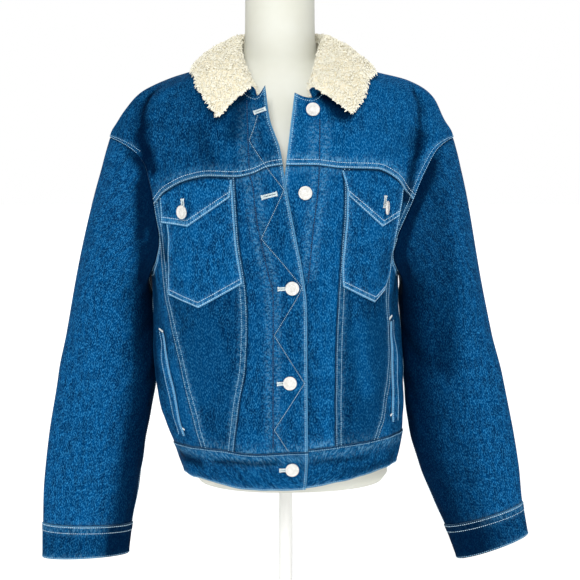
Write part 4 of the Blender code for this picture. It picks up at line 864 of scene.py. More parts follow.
@dataclass(frozen=True)
class WashedDenim:
    """Cotton twill, rope-dyed indigo and stone washed: the white core of its yarn shows wherever it is rubbed.

    Rubbing pales ridges, folded edges and ropes along the seams, the troughs stay darker, and thick places
    in the warp give short pale flecks up the cloth. Painted shade darkens the deepest troughs, places out of
    the light and the grooves of seams, and painted light pales some patches. Cotton is matt with a faint nap.
    """

    # the colour of painted shade
    shade_navy: str = "#000e27"
    deep: str = "#00244b"
    middle: str = "#003462"
    light: str = "#00497f"
    core: str = "#2f82b6"
    pale: str = "#639fc6"
    wrong_side: str = "#6f93b4"
    nap: str = "#2f8fc8"
    roughness: float = 0.9
    bump: float = 0.45
    twill_lean: float = 63.0  # degrees
    twill_apart: float = 2.2  # drawn wider than the real 0.6 mm
    grains: dict[str, Grain] = field(default_factory=lambda: {
        # Real yarns are 0.5 mm apart. They are drawn two to four times as coarse, or they wouldn't show.
        "yarn": Grain(1.4, 2.4, 10, 0.0, 0.40, 0.60),
        "slub": Grain(1.4, 6.0, 6, 1.0, 0.58, 0.72),
        "fleck": Grain(1.25, 3.0, 12, 0.0, 0.54, 0.68),
        "cloud": Grain(8.0, 14.0, 5, 1.5, 0.38, 0.62),
        "streak": Grain(5.0, 55.0, 2, 2.0, 0.40, 0.66),
        "rope_x": Grain(5.0, 3.2, 14, 2.0, 0.48, 0.62, 0.7),
        "rope_y": Grain(3.2, 8.0, -8, 2.0, 0.48, 0.62, 0.7),
    })

    def material(self) -> Material:
        """The finish: indigo clouds, pale flecks, roped seams, painted shade and light, a paler wrong side
        and a twill bump.

        Returns:
            The material.
        """
        settings = {"Roughness": self.roughness, "IOR": 1.47, "Sheen Weight": 0.01, "Sheen Roughness": 0.5,
            "Sheen Tint": linear(self.nap), "Specular IOR Level": 0.05, "Specular Tint": linear(self.nap)}
        material, tree = new_material("washed indigo denim", settings)
        cloth_map = add_node(tree, "ShaderNodeUVMap", {}, uv_map="cloth")
        mask: dict[str, Any] = {}
        for name, grain in self.grains.items():
            scale = (1 / (grain.across * MM), 1 / (grain.along * MM), 1)
            placed = add_node(tree, "ShaderNodeMapping", {"Vector": cloth_map, "Scale": scale,
                "Rotation": (0, 0, math.radians(grain.turned))})
            noise = add_node(tree, "ShaderNodeTexNoise", {"Vector": placed, "Scale": 1.0, "Detail": grain.detail,
                "Roughness": grain.rough}, noise_dimensions="2D")
            mask[name] = add_node(tree, "ShaderNodeMapRange", {"Value": noise, "From Min": grain.low,
                "From Max": grain.high})
        for name in ("wear_x", "wear_y", "seam", "rub", "fold", "inside", "shade"):
            mask[name] = add_node(tree, "ShaderNodeAttribute", {}, attribute_name=name).outputs["Fac"]
        for name, kind, first, second in (
            # Masks made of two others
            ("roped_x", "MULTIPLY", "wear_x", "rope_x"), ("roped_y", "MULTIPLY", "wear_y", "rope_y"),
            ("roped", "MAXIMUM", "roped_x", "roped_y"), ("worn", "MAXIMUM", "wear_x", "wear_y"),
            ("speckle", "MULTIPLY", "fleck", "cloud"),
        ):
            mask[name] = add_node(tree, "ShaderNodeMath", {0: mask[first], 1: mask[second]}, operation=kind)
        colour: Any = linear(self.middle)
        for shade, name, none, full, most in (
            # Each layer is laid over the last: its colour, its mask, the mask's values for none and for full,
            # and how much it covers there
            (self.deep, "yarn", 1.0, 0.0, 0.75),
            (self.deep, "cloud", 0.5, 0.0, 0.60),
            (self.light, "cloud", 0.5, 1.0, 0.40),
            (self.light, "streak", 0.0, 1.0, 0.45),
            # paler panels, and painted highlights
            (self.light, "shade", 0.0, 1.0, 0.9),
            (self.light, "fold", 0.0, -1.0, 0.6),
            (self.core, "worn", 0.0, 1.0, 0.15),
            (self.core, "slub", 0.0, 1.0, 0.28),
            (self.core, "fleck", 0.0, 1.0, 0.40),
            (self.core, "speckle", 0.0, 1.0, 0.45),
            (self.pale, "roped", 0.0, 1.0, 0.72),
            (self.pale, "rub", 0.0, 0.8, 0.65),
            # painted shade in the deepest troughs of the folds
            (self.shade_navy, "fold", 2.0, 7.0, 0.45),
            # painted shade in hollows and towards the body, and darker panels
            (self.shade_navy, "shade", 0.0, -1.0, 0.93),
            # painted shade in the grooves of plain seams and under the yoke
            (self.shade_navy, "seam", 0.0, 1.0, 0.9),
            (self.wrong_side, "inside", 0.0, 1.0, 0.75),
        ):
            share = add_node(tree, "ShaderNodeMapRange", {"Value": mask[name], "From Min": none, "From Max": full,
                "To Max": most})
            mixed = add_node(tree, "ShaderNodeMix", {0: share, 6: colour, 7: linear(shade)}, data_type="RGBA")
            colour = mixed.outputs[2]
        wave = 0.314  # the length of one wave of the wave texture
        leaning = add_node(tree, "ShaderNodeMapping", {"Vector": cloth_map,
            "Rotation": (0, 0, math.radians(self.twill_lean - 90)), "Scale": (wave / (self.twill_apart * MM),) * 3})
        twill = add_node(tree, "ShaderNodeTexWave", {"Vector": leaning, "Scale": 1.0, "Distortion": 1.5,
            "Detail": 1.0})
        height: Any = mask["yarn"]
        for part, weight in ((twill.outputs["Fac"], 0.25), (mask["slub"], 0.5), (mask["roped"], 1.6)):
            height = add_node(tree, "ShaderNodeMath", {0: part, 1: weight, 2: height}, operation="MULTIPLY_ADD")
        bump = add_node(tree, "ShaderNodeBump", {"Strength": self.bump, "Distance": 0.0004, "Height": height})
        return wired(material, colour, bump)


@dataclass(frozen=True)
class SherpaPile:
    """Polyester sherpa, knitted and tumbled into small cream curls, with painted shade in the browner gaps."""

    name: str
    curl: str
    # the colour of the painted shade in the gaps, and of the browner patches
    ground: str
    bump: float = 0.5
    grain: float = 2.6  # millimetres from curl to curl
    roughness: float = 0.95

    def material(self) -> Material:
        """The finish: cream tips, painted shade in the brownish gaps between the curls, and a soft nap.

        Returns:
            The material.
        """
        material, tree = new_material(self.name, {"Roughness": self.roughness, "IOR": 1.5, "Sheen Weight": 0.15,
            "Sheen Roughness": 0.6, "Specular IOR Level": 0.1})
        place = add_node(tree, "ShaderNodeTexCoord", {}).outputs["Object"]
        cells = add_node(tree, "ShaderNodeTexVoronoi", {"Vector": place, "Scale": 1 / (self.grain * MM)})
        cloud = add_node(tree, "ShaderNodeTexNoise", {"Vector": place, "Scale": 1 / (7 * MM), "Detail": 3.0})
        # Painted shade: each cell darkens towards its edges, into the gaps between the curls
        gap = add_node(tree, "ShaderNodeMapRange", {"Value": cells, "From Min": 0.35, "From Max": 0.85,
            "To Max": 0.8})
        patch = add_node(tree, "ShaderNodeMapRange", {"Value": cloud, "From Min": 0.42, "From Max": 0.68,
            "To Max": 0.35})
        gap_shade_and_patch = add_node(tree, "ShaderNodeMath", {0: gap, 1: patch}, operation="MAXIMUM")
        mixed = add_node(tree, "ShaderNodeMix", {0: gap_shade_and_patch, 6: linear(self.curl), 7: linear(self.ground)},
            data_type="RGBA")
        lump = add_node(tree, "ShaderNodeMath", {0: 1.0, 1: cells}, operation="SUBTRACT")
        bump = add_node(tree, "ShaderNodeBump", {"Strength": self.bump, "Distance": 0.001, "Height": lump})
        return wired(material, mixed.outputs[2], bump)


@dataclass(frozen=True)
class Coating:
    """A smooth finish with a faint cloudiness: moulded resin, shell or enamel."""

    name: str
    colour: str
    cloudy: str
    grain: float  # millimetres
    roughness: float
    bump: float = 0.02
    coat: float = 0.0

    def material(self) -> Material:
        """The finish: two close tones in soft clouds, and the slightest unevenness.

        Returns:
            The material.
        """
        material, tree = new_material(self.name, {"Roughness": self.roughness, "IOR": 1.5, "Coat Weight": self.coat,
            "Coat Roughness": 0.12})
        place = add_node(tree, "ShaderNodeTexCoord", {}).outputs["Object"]
        cloud = add_node(tree, "ShaderNodeTexNoise", {"Vector": place, "Scale": 1 / (self.grain * MM), "Detail": 3.0})
        ranged = add_node(tree, "ShaderNodeMapRange", {"Value": cloud, "From Min": 0.35, "From Max": 0.7})
        mixed = add_node(tree, "ShaderNodeMix", {0: ranged, 6: linear(self.colour), 7: linear(self.cloudy)},
            data_type="RGBA")
        bump = add_node(tree, "ShaderNodeBump", {"Strength": self.bump, "Distance": 0.001, "Height": cloud})
        return wired(material, mixed.outputs[2], bump)


# ---- the cut
@dataclass(frozen=True)
class Side:
    """What differs between the two sides of the jacket."""

    name: str
    out: int  # -1 points to the left, 1 to the right
    centre_turn: float
    edge: tuple[Mark, ...]
    seam_1: tuple[Mark, ...]
    seam_2: tuple[Mark, ...]
    neckline: tuple[Mark, ...]
    armhole: tuple[Mark, ...]

    @property
    def side_turn(self) -> float:
        """The turn of the side seam."""
        return 1.0 if self.out > 0 else 3.0

    @property
    def inwards(self) -> Edge:
        """The edge of a front piece that is nearer the centre."""
        return Edge.FIRST if self.out > 0 else Edge.LAST

    @property
    def outwards(self) -> Edge:
        """The edge of a front piece that is nearer the side."""
        return Edge.LAST if self.out > 0 else Edge.FIRST


LEFT = Side("left", -1, 4.0, LEFT_EDGE, LEFT_SEAM_1, LEFT_SEAM_2, LEFT_NECKLINE, LEFT_ARMHOLE)
RIGHT = Side("right", 1, 0.0, RIGHT_EDGE, RIGHT_SEAM_1, RIGHT_SEAM_2, RIGHT_NECKLINE, RIGHT_ARMHOLE)


@dataclass
class Cut:
    """The seams of the body as paths of turns and heights, and the grids of the panels between them."""

    cloth: BodyCloth
    pocket_height: float = 602.0
    back_yoke_height: float = 664.0
    top_to_yoke: int = 22
    yoke_to_pocket: int = 20
    pocket_to_arm: int = 34
    arm_to_back_yoke: int = 34
    back_yoke_to_top: int = 24
    shoulder_rows: int = 46
    side_rows: int = 78
    centre_columns: int = 26
    middle_columns: int = 30
    back_side_columns: int = 34
    back_centre_columns: int = 50
    band_columns: int = 300
    band_rows: int = 14
    band_level: float = 300.0  # the height at which the band's ends are read
    yoke_start: float = 680.0  # where the search for the yoke's seam starts, and how often it is repeated
    rounds: int = 12
    meeting_rounds: int = 30

    def __post_init__(self) -> None:
        """Works out both armholes, which the sleeves share."""
        self.legs = {side.name: self.armhole_legs(side) for side in (LEFT, RIGHT)}

    def spaced(self, turns: Any, heights: Array, count: int) -> Array:
        """Count + 1 evenly spaced places along a path of turns and heights."""
        return evenly(np.stack(np.broadcast_arrays(turns, heights), -1), count, self.cloth.on)

    def marks_path(self, marks: tuple[Mark, ...], centre_turn: float) -> Array:
        """A seam's marks as a smooth path of turns and heights."""
        path = through(marks)
        return pack(self.cloth.turn_at(path[:, 0], path[:, 1], centre_turn), path[:, 1])

    def upright(self, marks: tuple[Mark, ...], centre_turn: float, low: float, high: float, count: int) -> Array:
        """Places along an upright seam from a low height to a high one."""
        heights = np.linspace(low, high, 200)
        return self.spaced(self.cloth.turn_at(read(marks, heights, "at"), heights, centre_turn), heights, count)

    def yoke_height(self, turn: Array) -> Array:
        """The height of the front yoke's seam at a turn.

        Args:
            turn: the turn round the body.

        Returns:
            The height at each turn.
        """
        height = np.full(np.shape(turn), self.yoke_start)
        for _ in range(self.rounds):
            height = read(YOKE_SEAM, self.cloth.points(turn, height)[..., 0], "height", "at")
        return height

    def band_height(self, turn: Array) -> Array:
        """The height of the waistband's top seam at a turn."""
        return read(BAND_SEAM, turn, "height", "at")

    def hem_height(self, turn: Array) -> Array:
        """The height of the hem at a turn."""
        return read(HEM, turn, "height", "at")

    def meeting(self, marks: tuple[Mark, ...], side: Side, height_of: Callable, start: float) -> float:
        """The height at which an upright seam meets a seam that runs round.

        Args:
            marks: the upright seam's marks.
            side: the side of the jacket.
            height_of: the height of the seam that runs round, at a turn.
            start: a first guess of the height.

        Returns:
            The height where the two meet.
        """
        height = start
        for _ in range(self.meeting_rounds):
            turn = self.cloth.turn_at(read(marks, height, "at"), height, side.centre_turn)
            height = 0.5 * height + 0.5 * float(height_of(turn))
        return height

    def crosswise(self, height_of: Callable, start: Array, end: Array, count: int) -> Array:
        """Places along a seam that runs round, from one place on it to another.

        Args:
            height_of: the height of the seam at a turn.
            start: the first place.
            end: the last place.
            count: the number of steps.

        Returns:
            The places along the seam.
        """
        turns = np.linspace(start[0], end[0], 240)
        run = self.spaced(turns, height_of(turns), count)
        run[0], run[-1] = start, end
        return run

    def level(self, height: float) -> Callable[[Array], Array]:
        """A seam at one height."""
        return lambda turn: np.full(np.shape(turn), height)

    def armhole_legs(self, side: Side) -> dict[str, Array]:
        """The armhole's five stretches, each evenly divided, all running down.

        Args:
            side: the side of the jacket.

        Returns:
            The stretches by name.
        """

        def falling(table: tuple[Mark, ...], turn_of: Callable) -> Array:
            """A table's marks as a path of turns and heights."""
            path = through(table, 96)
            return pack(turn_of(path[:, 0]), path[:, 1])

        def split(path: Array, height_of: Callable) -> tuple[Array, Array]:
            """The path above and below a seam that crosses it.

            Args:
                path: the places along the armhole.
                height_of: the height of the seam at a turn.

            Returns:
                The two parts of the path.
            """
            over = path[:, 1] - height_of(path[:, 0])
            below = int(np.argmax(over < 0))
            share = over[below - 1] / (over[below - 1] - over[below])
            crossing = path[below - 1 : below] * (1 - share) + path[below : below + 1] * share
            return np.concatenate([path[:below], crossing]), np.concatenate([crossing, path[below:]])

        above, below = split(falling(side.armhole, lambda share: side.centre_turn + side.out * share),
            self.yoke_height)
        pocket, arm = split(below, self.level(self.pocket_height))
        back_above, back_below = split(falling(BACK_ARMHOLE, lambda share: 2 - side.out * share),
            self.level(self.back_yoke_height))
        return {name: evenly(path, count, self.cloth.on) for name, path, count in (("top", above, self.top_to_yoke),
            ("pocket", pocket, self.yoke_to_pocket), ("arm", arm, self.pocket_to_arm),
            ("back_top", back_above, self.back_yoke_to_top), ("back_arm", back_below, self.arm_to_back_yoke))}

    def patch(self, low: Array, high: Array, first: Array, last: Array, mirrored: bool = False) -> Array:
        """A grid of places between four edges: Coons' blend of the low and high edges with both sides.

        Args:
            low: the low edge.
            high: the high edge.
            first: the edge at the first column.
            last: the edge at the last column.
            mirrored: whether the four edges are those of a piece that runs the other way round.

        Returns:
            The grid of places.
        """
        if mirrored:
            low, high, first, last = low[::-1], high[::-1], last, first
        v = np.linspace(0, 1, len(first))[:, None, None]
        u = np.linspace(0, 1, len(low))[None, :, None]
        ruled = (1 - v) * low[None] + v * high[None] + (1 - u) * first[:, None] + u * last[:, None]
        return ruled - (1 - v) * ((1 - u) * low[0] + u * low[-1]) - v * ((1 - u) * high[0] + u * high[-1])

    def straight_up(self, turn: float, low: float, high: float, count: int) -> Array:
        """Places up the body at one turn."""
        return self.spaced(turn, np.linspace(low, high, 200), count)

    def side_seam(self, side: Side) -> Array:
        """The side seam from the band up to the underarm."""
        low = float(self.band_height(np.array(side.side_turn)))
        return self.straight_up(side.side_turn, low, self.legs[side.name]["arm"][-1, 1], self.side_rows)

    def shoulder(self, side: Side) -> Array:
        """The shoulder seam from the armhole's top up to the neck."""
        return self.straight_up(side.side_turn, side.armhole[0].height, side.neckline[-1].height, self.shoulder_rows)

    def front(self, side: Side) -> dict[str, Array]:
        """The grids of one front: the centre, middle and side panels and the yoke.

        Args:
            side: the side of the jacket.

        Returns:
            The grids by name.
        """
        legs, mirrored = self.legs[side.name], side.out < 0
        band_edge, band_1, band_2 = (self.meeting(seam, side, self.band_height, 320)
            for seam in (side.edge, side.seam_1, side.seam_2))
        yoke_edge, yoke_1 = (self.meeting(seam, side, self.yoke_height, 690) for seam in (side.edge, side.seam_1))
        rows = self.side_rows + self.yoke_to_pocket
        edge = self.upright(side.edge, side.centre_turn, band_edge, yoke_edge, rows)
        seam_1 = self.upright(side.seam_1, side.centre_turn, band_1, yoke_1, rows)
        corner = legs["arm"][0]
        seam_2 = self.upright(side.seam_2, side.centre_turn, band_2, corner[1], self.side_rows)
        seam_2 += (corner - seam_2[-1]) * np.linspace(0, 1, self.side_rows + 1)[:, None] ** 3
        side_seam = self.side_seam(side)
        centre_low = self.crosswise(self.band_height, edge[0], seam_1[0], self.centre_columns)
        centre_high = self.crosswise(self.yoke_height, edge[-1], seam_1[-1], self.centre_columns)
        middle_low = self.crosswise(self.band_height, seam_1[0], seam_2[0], self.middle_columns)
        middle_high = self.crosswise(self.yoke_height, seam_1[-1], legs["top"][-1], self.middle_columns)
        side_low = self.crosswise(self.band_height, seam_2[0], side_seam[0], self.pocket_to_arm)
        outer_edge = joined(seam_2, legs["pocket"][::-1])
        edge_top = side.neckline[0].height
        yoke_rows = self.top_to_yoke + self.shoulder_rows
        yoke_side = self.upright(side.edge, side.centre_turn, yoke_edge, edge_top, yoke_rows)
        neck = evenly(self.marks_path(side.neckline, side.centre_turn), self.centre_columns + self.middle_columns,
            self.cloth.on)
        yoke_side += (neck[0] - yoke_side[-1]) * np.linspace(0, 1, yoke_rows + 1)[:, None] ** 2
        yoke_outer = joined(legs["top"][::-1], self.shoulder(side))
        return {"centre_front": self.patch(centre_low, centre_high, edge, seam_1, mirrored),
            "middle_front": self.patch(middle_low, middle_high, seam_1, outer_edge, mirrored),
            "side_front": self.patch(side_low, legs["arm"], seam_2, side_seam, mirrored),
            "front_yoke": self.patch(joined(centre_high, middle_high), neck, yoke_side, yoke_outer, mirrored)}

    def back(self) -> dict[str, Array]:
        """The grids of the back: a centre panel, two side panels and a yoke, from the right side to the left.

        Returns:
            The grids by name.
        """
        rows = self.side_rows + self.arm_to_back_yoke
        share = np.linspace(0, 1, 200)
        low_share, high_share = 0.34, 0.46
        seams, highs, grids = {}, {}, {}
        for side in (RIGHT, LEFT):
            turns = 2 - side.out * (low_share + (high_share - low_share) * share)
            band = float(self.band_height(turns[0]))
            seams[side.name] = self.spaced(turns, band + (self.back_yoke_height - band) * share, rows)
        yoke_seam = self.level(self.back_yoke_height)
        centre_low = self.crosswise(self.band_height, seams["right"][0], seams["left"][0], self.back_centre_columns)
        centre_high = self.crosswise(yoke_seam, seams["right"][-1], seams["left"][-1], self.back_centre_columns)
        grids["back_centre"] = self.patch(centre_low, centre_high, seams["right"], seams["left"])
        for side in (RIGHT, LEFT):
            seam = seams[side.name]
            outer = joined(self.side_seam(side), self.legs[side.name]["back_arm"][::-1])
            low = self.crosswise(self.band_height, outer[0], seam[0], self.back_side_columns)
            highs[side.name] = self.crosswise(yoke_seam, outer[-1], seam[-1], self.back_side_columns)
            grids[f"back_side_{side.name}"] = self.patch(low, highs[side.name], outer, seam, side.out < 0)
        yoke_low = joined(highs["right"], centre_high, highs["left"][::-1])
        first, last = (joined(self.legs[side.name]["back_top"][::-1], self.shoulder(side)) for side in (RIGHT, LEFT))
        turns = np.linspace(1, 3, 240)
        neck = self.spaced(turns, read(BACK_NECKLINE, turns, "height", "at"), len(yoke_low) - 1)
        grids["back_yoke"] = self.patch(yoke_low, neck, first, last)
        return grids

    def waistband(self) -> Array:
        """The grid of the waistband, from the right front's edge round the back to the left front's edge.

        Returns:
            The grid of places.
        """
        level = self.band_level
        turns = [self.cloth.turn_at(read(side.edge, level, "at"), level, side.centre_turn) for side in (RIGHT, LEFT)]
        high, low = (self.crosswise(seam, *[(turn, seam(turn)) for turn in turns], self.band_columns)
            for seam in (self.band_height, self.hem_height))
        first, last = (np.linspace(low[k], high[k], self.band_rows + 1) for k in (0, -1))
        return self.patch(low, high, first, last)


# ---- stitches
@dataclass
class Stitching:
    """Topstitching: one small rounded thread for each stitch, its ends dipping into the cloth."""

    name: str
    pitch: float = 2.9
    length: float = 2.3
    width: float = 1.0
    proud: float = 0.5
    lines: list[Line] = field(default_factory=list)
    span: float = 0.45  # the share of its length between its middle and where its direction is read

    def follow(self, *lines: Line) -> None:
        """Adds paths to sew."""
        self.lines.extend(lines)

    def build(self, material: Material) -> None:
        """The stitches as one mesh: the same spindle of ten points set at each pitch along every path.

        Args:
            material: the finish of the thread.
        """
        centres, ways, facings = [], [], []
        for line in self.lines:
            run = run_along(line.points)
            count = max(int(run[-1] / self.pitch), 1)
            middles = (np.arange(count) + 0.5) * run[-1] / count
            ends = [np.stack([np.interp(middles + shift, run, line.points[:, k]) for k in range(3)], -1)
                for shift in (-self.span * self.length, self.span * self.length)]
            centres.append((ends[0] + ends[1]) / 2)
            ways.append(unit(ends[1] - ends[0]))
            facings.append(unit(np.stack([np.interp(middles, run, line.normals[:, k]) for k in range(3)], -1)))
        spindles(self.name, *(np.concatenate(part) for part in (centres, ways, facings)), self.length, self.width,
            self.proud, material)
        LOG.info("%s: %d stitches", self.name, sum(len(part) for part in centres))


def spindles(name: str, centres: Array, ways: Array, facings: Array, length: Any, width: float, proud: float,
        material: Material) -> None:
    """Threads laid on the cloth: a square-sectioned spindle at each place, smooth shaded.

    Args:
        name: the object's name.
        centres: the middle of each thread on the cloth.
        ways: the direction of each.
        facings: the cloth's normal at each.
        length: the threads' length, one or one each.
        width: their width.
        proud: how far they stand over the cloth.
        material: their finish.
    """
    half = np.broadcast_to(np.asarray(length, float) / 2, (len(centres),))
    shape = [(-1, 0, -0.3)]
    for along in (-0.62, 0.62):
        shape += [(along, 0.5, 0), (along, 0, 1), (along, -0.5, 0), (along, 0, -0.6)]
    shape = np.array(shape + [(1, 0, -0.3)])
    sideways = np.cross(facings, ways)
    points = (centres[:, None] + ways[:, None] * (shape[:, 0] * half[:, None])[..., None] + sideways[:, None]
        * (shape[:, 1] * width)[None, :, None] + facings[:, None] * (shape[:, 2] * proud)[None, :, None])
    ring = np.arange(4)
    ahead = (ring + 1) % 4
    ends = np.concatenate([pack(np.zeros(4, int), 1 + ahead, 1 + ring), pack(np.full(4, 9), 5 + ring, 5 + ahead)])
    walls = pack(1 + ring, 1 + ahead, 5 + ahead, 5 + ring)
    shift = (np.arange(len(centres)) * 10)[:, None, None]
    faces = [(group[None] + shift).reshape(-1, group.shape[1]) for group in (walls, ends)]
    make_object(name, points.reshape(-1, 3), faces, material, sharp=180.0)


@dataclass
class Front:
    """Paths that are drawn on the fronts by what is seen from the front."""

    cloth: BodyCloth

    def path(self, marks: Any, centre_turn: float, out: float = 0.0, dense: int = 24) -> Line:
        """A path through marks on one front, moved out by a distance.

        Args:
            marks: the marks, each a place across and a height.
            centre_turn: the turn of the front's centre.
            out: the distance moved out.
            dense: steps from one mark to the next.

        Returns:
            The path with its normals.
        """
        marks = np.asarray(marks, float)
        path = through(marks, dense) if dense > 1 else marks
        turns = self.cloth.turn_at(path[:, 0], path[:, 1], centre_turn)
        return Line(self.cloth.surface(turns, path[:, 1], out), self.cloth.normals(turns, path[:, 1]))


# ---- sub-assemblies
@dataclass
class JacketBody:
    """The body's panels and waistband."""

    cut: Cut
    band_wall: float = 2.2
    band_proud: float = 0.8
    # how much each panel is darkened (below 0) or paled (above 0)
    shades: dict[str, float] = field(default_factory=lambda: {"front_yoke_left": -0.3, "front_yoke_right": 0.4,
        "middle_front_left": -0.45, "centre_front_left": -0.15, "centre_front_right": 0.3,
        "middle_front_right": -0.55, "side_front_left": -0.2, "waistband": -0.25})
    rub: float = 0.55  # how rubbed the cloth is beside the plackets' rows, how far from them and how widely
    rub_away: float = 4.0
    rub_wide: float = 3.0
    rub_ends: float = 10.0  # it starts and ends within this much

    def piece(self, name: str, grid: Array, edges: dict[Edge, Finishing], out: float = 0.0, wall: float = 1.6,
            gap: float = 0.15, held: str = "hung", rests_on: tuple[str, ...] = ("dress_form",)) -> ClothPiece:
        """A piece of cloth over a grid of turns and heights, moved out by a distance.

        Args:
            name: the name of the panel.
            grid: its places, as turns and heights.
            edges: how each edge is sewn.
            out: the distance moved out.
            wall: the thickness of the cloth.
            gap: millimetres that each edge is drawn in.
            held: how the cloth is held.
            rests_on: the nodes that carry it.

        Returns:
            The piece.
        """
        turn, height = grid[..., 0], grid[..., 1]
        cloth = self.cut.cloth
        points = cloth.surface(turn, height, out)
        normals = grid_normals(points, cloth.normals(turn, height))
        laid = cloth.spread(turn, height, round(float(turn.mean())))
        return ClothPiece(name, points, normals, wall, False, gap, edges, cloth.depth(turn, height), held, rests_on,
            spread=laid, shade=self.shades.get(name, 0.0), drawn_in=self.drawn_in(turn, height),
            shading=-fold_depth(BODY_PAINTED_SHADE_AND_LIGHT, turn, height, cloth.turn_length, True))

    def drawn_in(self, turn: Array, height: Array) -> Array:
        """How rubbed the cloth is beside the plackets' rows: a bell on each side of a row.

        Args:
            turn: the turn round the body.
            height: the height above the floor.

        Returns:
            How rubbed each place is.
        """
        cloth, total = self.cut.cloth, np.zeros(turn.shape)
        for row, centre in ((PLACKET_LEFT, 4.0), (PLACKET_RIGHT, 0.0)):
            marks = np.asarray(row, float)[::-1]
            middle = cloth.turn_at(smooth(height, marks[:, 1], marks[:, 0]), height, centre)
            away = np.abs(turn - middle) * cloth.turn_length
            ends = clamp((height - marks[0, 1]) / self.rub_ends) * clamp((marks[-1, 1] - height) / self.rub_ends)
            total = np.maximum(total, self.rub * ends * bell(away - self.rub_away, self.rub_wide))
        return total

    def pieces(self) -> list[ClothPiece]:
        """Every panel, with how its edges are sewn.

        Returns:
            The pieces.
        """
        made = []
        for side, sewn_from in ((LEFT, 0.2), (RIGHT, 0.0)):
            armhole = Finishing((1.5, 6.8), 0.6, 8.0, 0.5, start=sewn_from, until=0.42, inner=0.4)
            inner, outer = side.inwards, side.outwards
            shoulder = Finishing((4.5,), 0.2, 4.0, 0.2)
            sewn = {  # how each edge of each panel is sewn
                "centre_front": {inner: FRONT_EDGE, outer: SHADED_DITCH, Edge.LOW: PUCKERED, Edge.HIGH: SHADOW_UNDER_YOKE},
                "middle_front": {inner: FELLED, outer: FELLED, Edge.LOW: PUCKERED, Edge.HIGH: SHADOW_UNDER_YOKE},
                "side_front": {inner: PLAIN, outer: PLAIN, Edge.HIGH: FELLED, Edge.LOW: PLAIN},
                "front_yoke": {Edge.LOW: YOKE_LOW, inner: FRONT_EDGE, outer: armhole, Edge.HIGH: shoulder},
            }
            for name, grid in self.cut.front(side).items():
                made.append(self.piece(f"{name}_{side.name}", grid, sewn[name]))
        back_armhole = Finishing((1.5, 6.8), 0.6, 8.0, 0.5, until=0.40, inner=0.4)
        back = {  # the panels' other edges are plain
            "back_centre": {Edge.FIRST: FELLED, Edge.LAST: FELLED},
            "back_side_right": {Edge.FIRST: FELLED},
            "back_side_left": {Edge.LAST: FELLED},
            "back_yoke": {Edge.LOW: YOKE_LOW, Edge.FIRST: back_armhole, Edge.LAST: back_armhole},
        }
        for name, grid in self.cut.back().items():
            made.append(self.piece(name, grid, back[name]))
        band = {Edge.HIGH: Finishing((1.8,), 0.4, 7.0, 0.9, ditch_shade=0.7, inner=0.7, fade=9.0),
            Edge.LOW: Finishing((2.2,), 0.3, 4.0, 0.6, folded=True), Edge.FIRST: SINGLE, Edge.LAST: FRONT_EDGE}
        made.append(self.piece("waistband", self.cut.waistband(), band, self.band_proud, self.band_wall))
        return made


@dataclass(frozen=True)
class Lying:
    """A piece that lies on a front under the yoke's seam: corners as (x, height), the centre first."""

    name: str
    side: Side
    lower: Corners
    inner: Corners  # from the end of the lower edge upwards
    outer: Corners
    counts: tuple[int, ...]
    rows: int
    faces: tuple[float, float]
    low: Finishing


POCKET_OUT = (1.1, 2.3)
FLAP_OUT = (3.2, 4.6)
WELT_OUT = (1.6, 3.0)
YOKE_CLEAR = 3.0
POCKET_LOW = Finishing((1.8, 7.4), 0.25, 7.5, 0.6, folded=True, faded=False)
POCKET_ENDS = Finishing((1.8,), 0.2, 3.5, 0.35, folded=True)
FLAP_LOW = Finishing((1.8, 8.0), 0.3, 8.0, 0.65, folded=True, faded=False)
POCKET = (44, POCKET_OUT, POCKET_LOW)
FLAP = (20, FLAP_OUT, FLAP_LOW)
POCKETS = table_of(
    Lying,  # name, side, lower corners, inner and outer ones, faces along each lower run, and its kind
    ("chest_pocket_left", LEFT, ((-55, 545), (-113, 511), (-154, 525)),
     ((-63, 600), (-69, 684)), ((-156, 560), (-153, 602), (-160, 655)), (20, 14), *POCKET),
    ("chest_pocket_right", RIGHT, ((75, 540), (118, 516), (131, 531)),
     ((77, 600), (79, 694)), ((141, 562), (144, 602), (152, 665)), (20, 8), *POCKET),
    ("pocket_flap_left", LEFT, ((-71, 656), (-126, 618), (-160, 622)),
     ((-68, 684),), ((-162, 642), (-163, 655)), (20, 13), *FLAP),
    ("pocket_flap_right", RIGHT, ((82, 658), (125, 618), (148, 631)),
     ((73, 694),), ((151, 648), (153, 662)), (20, 10), *FLAP),
)


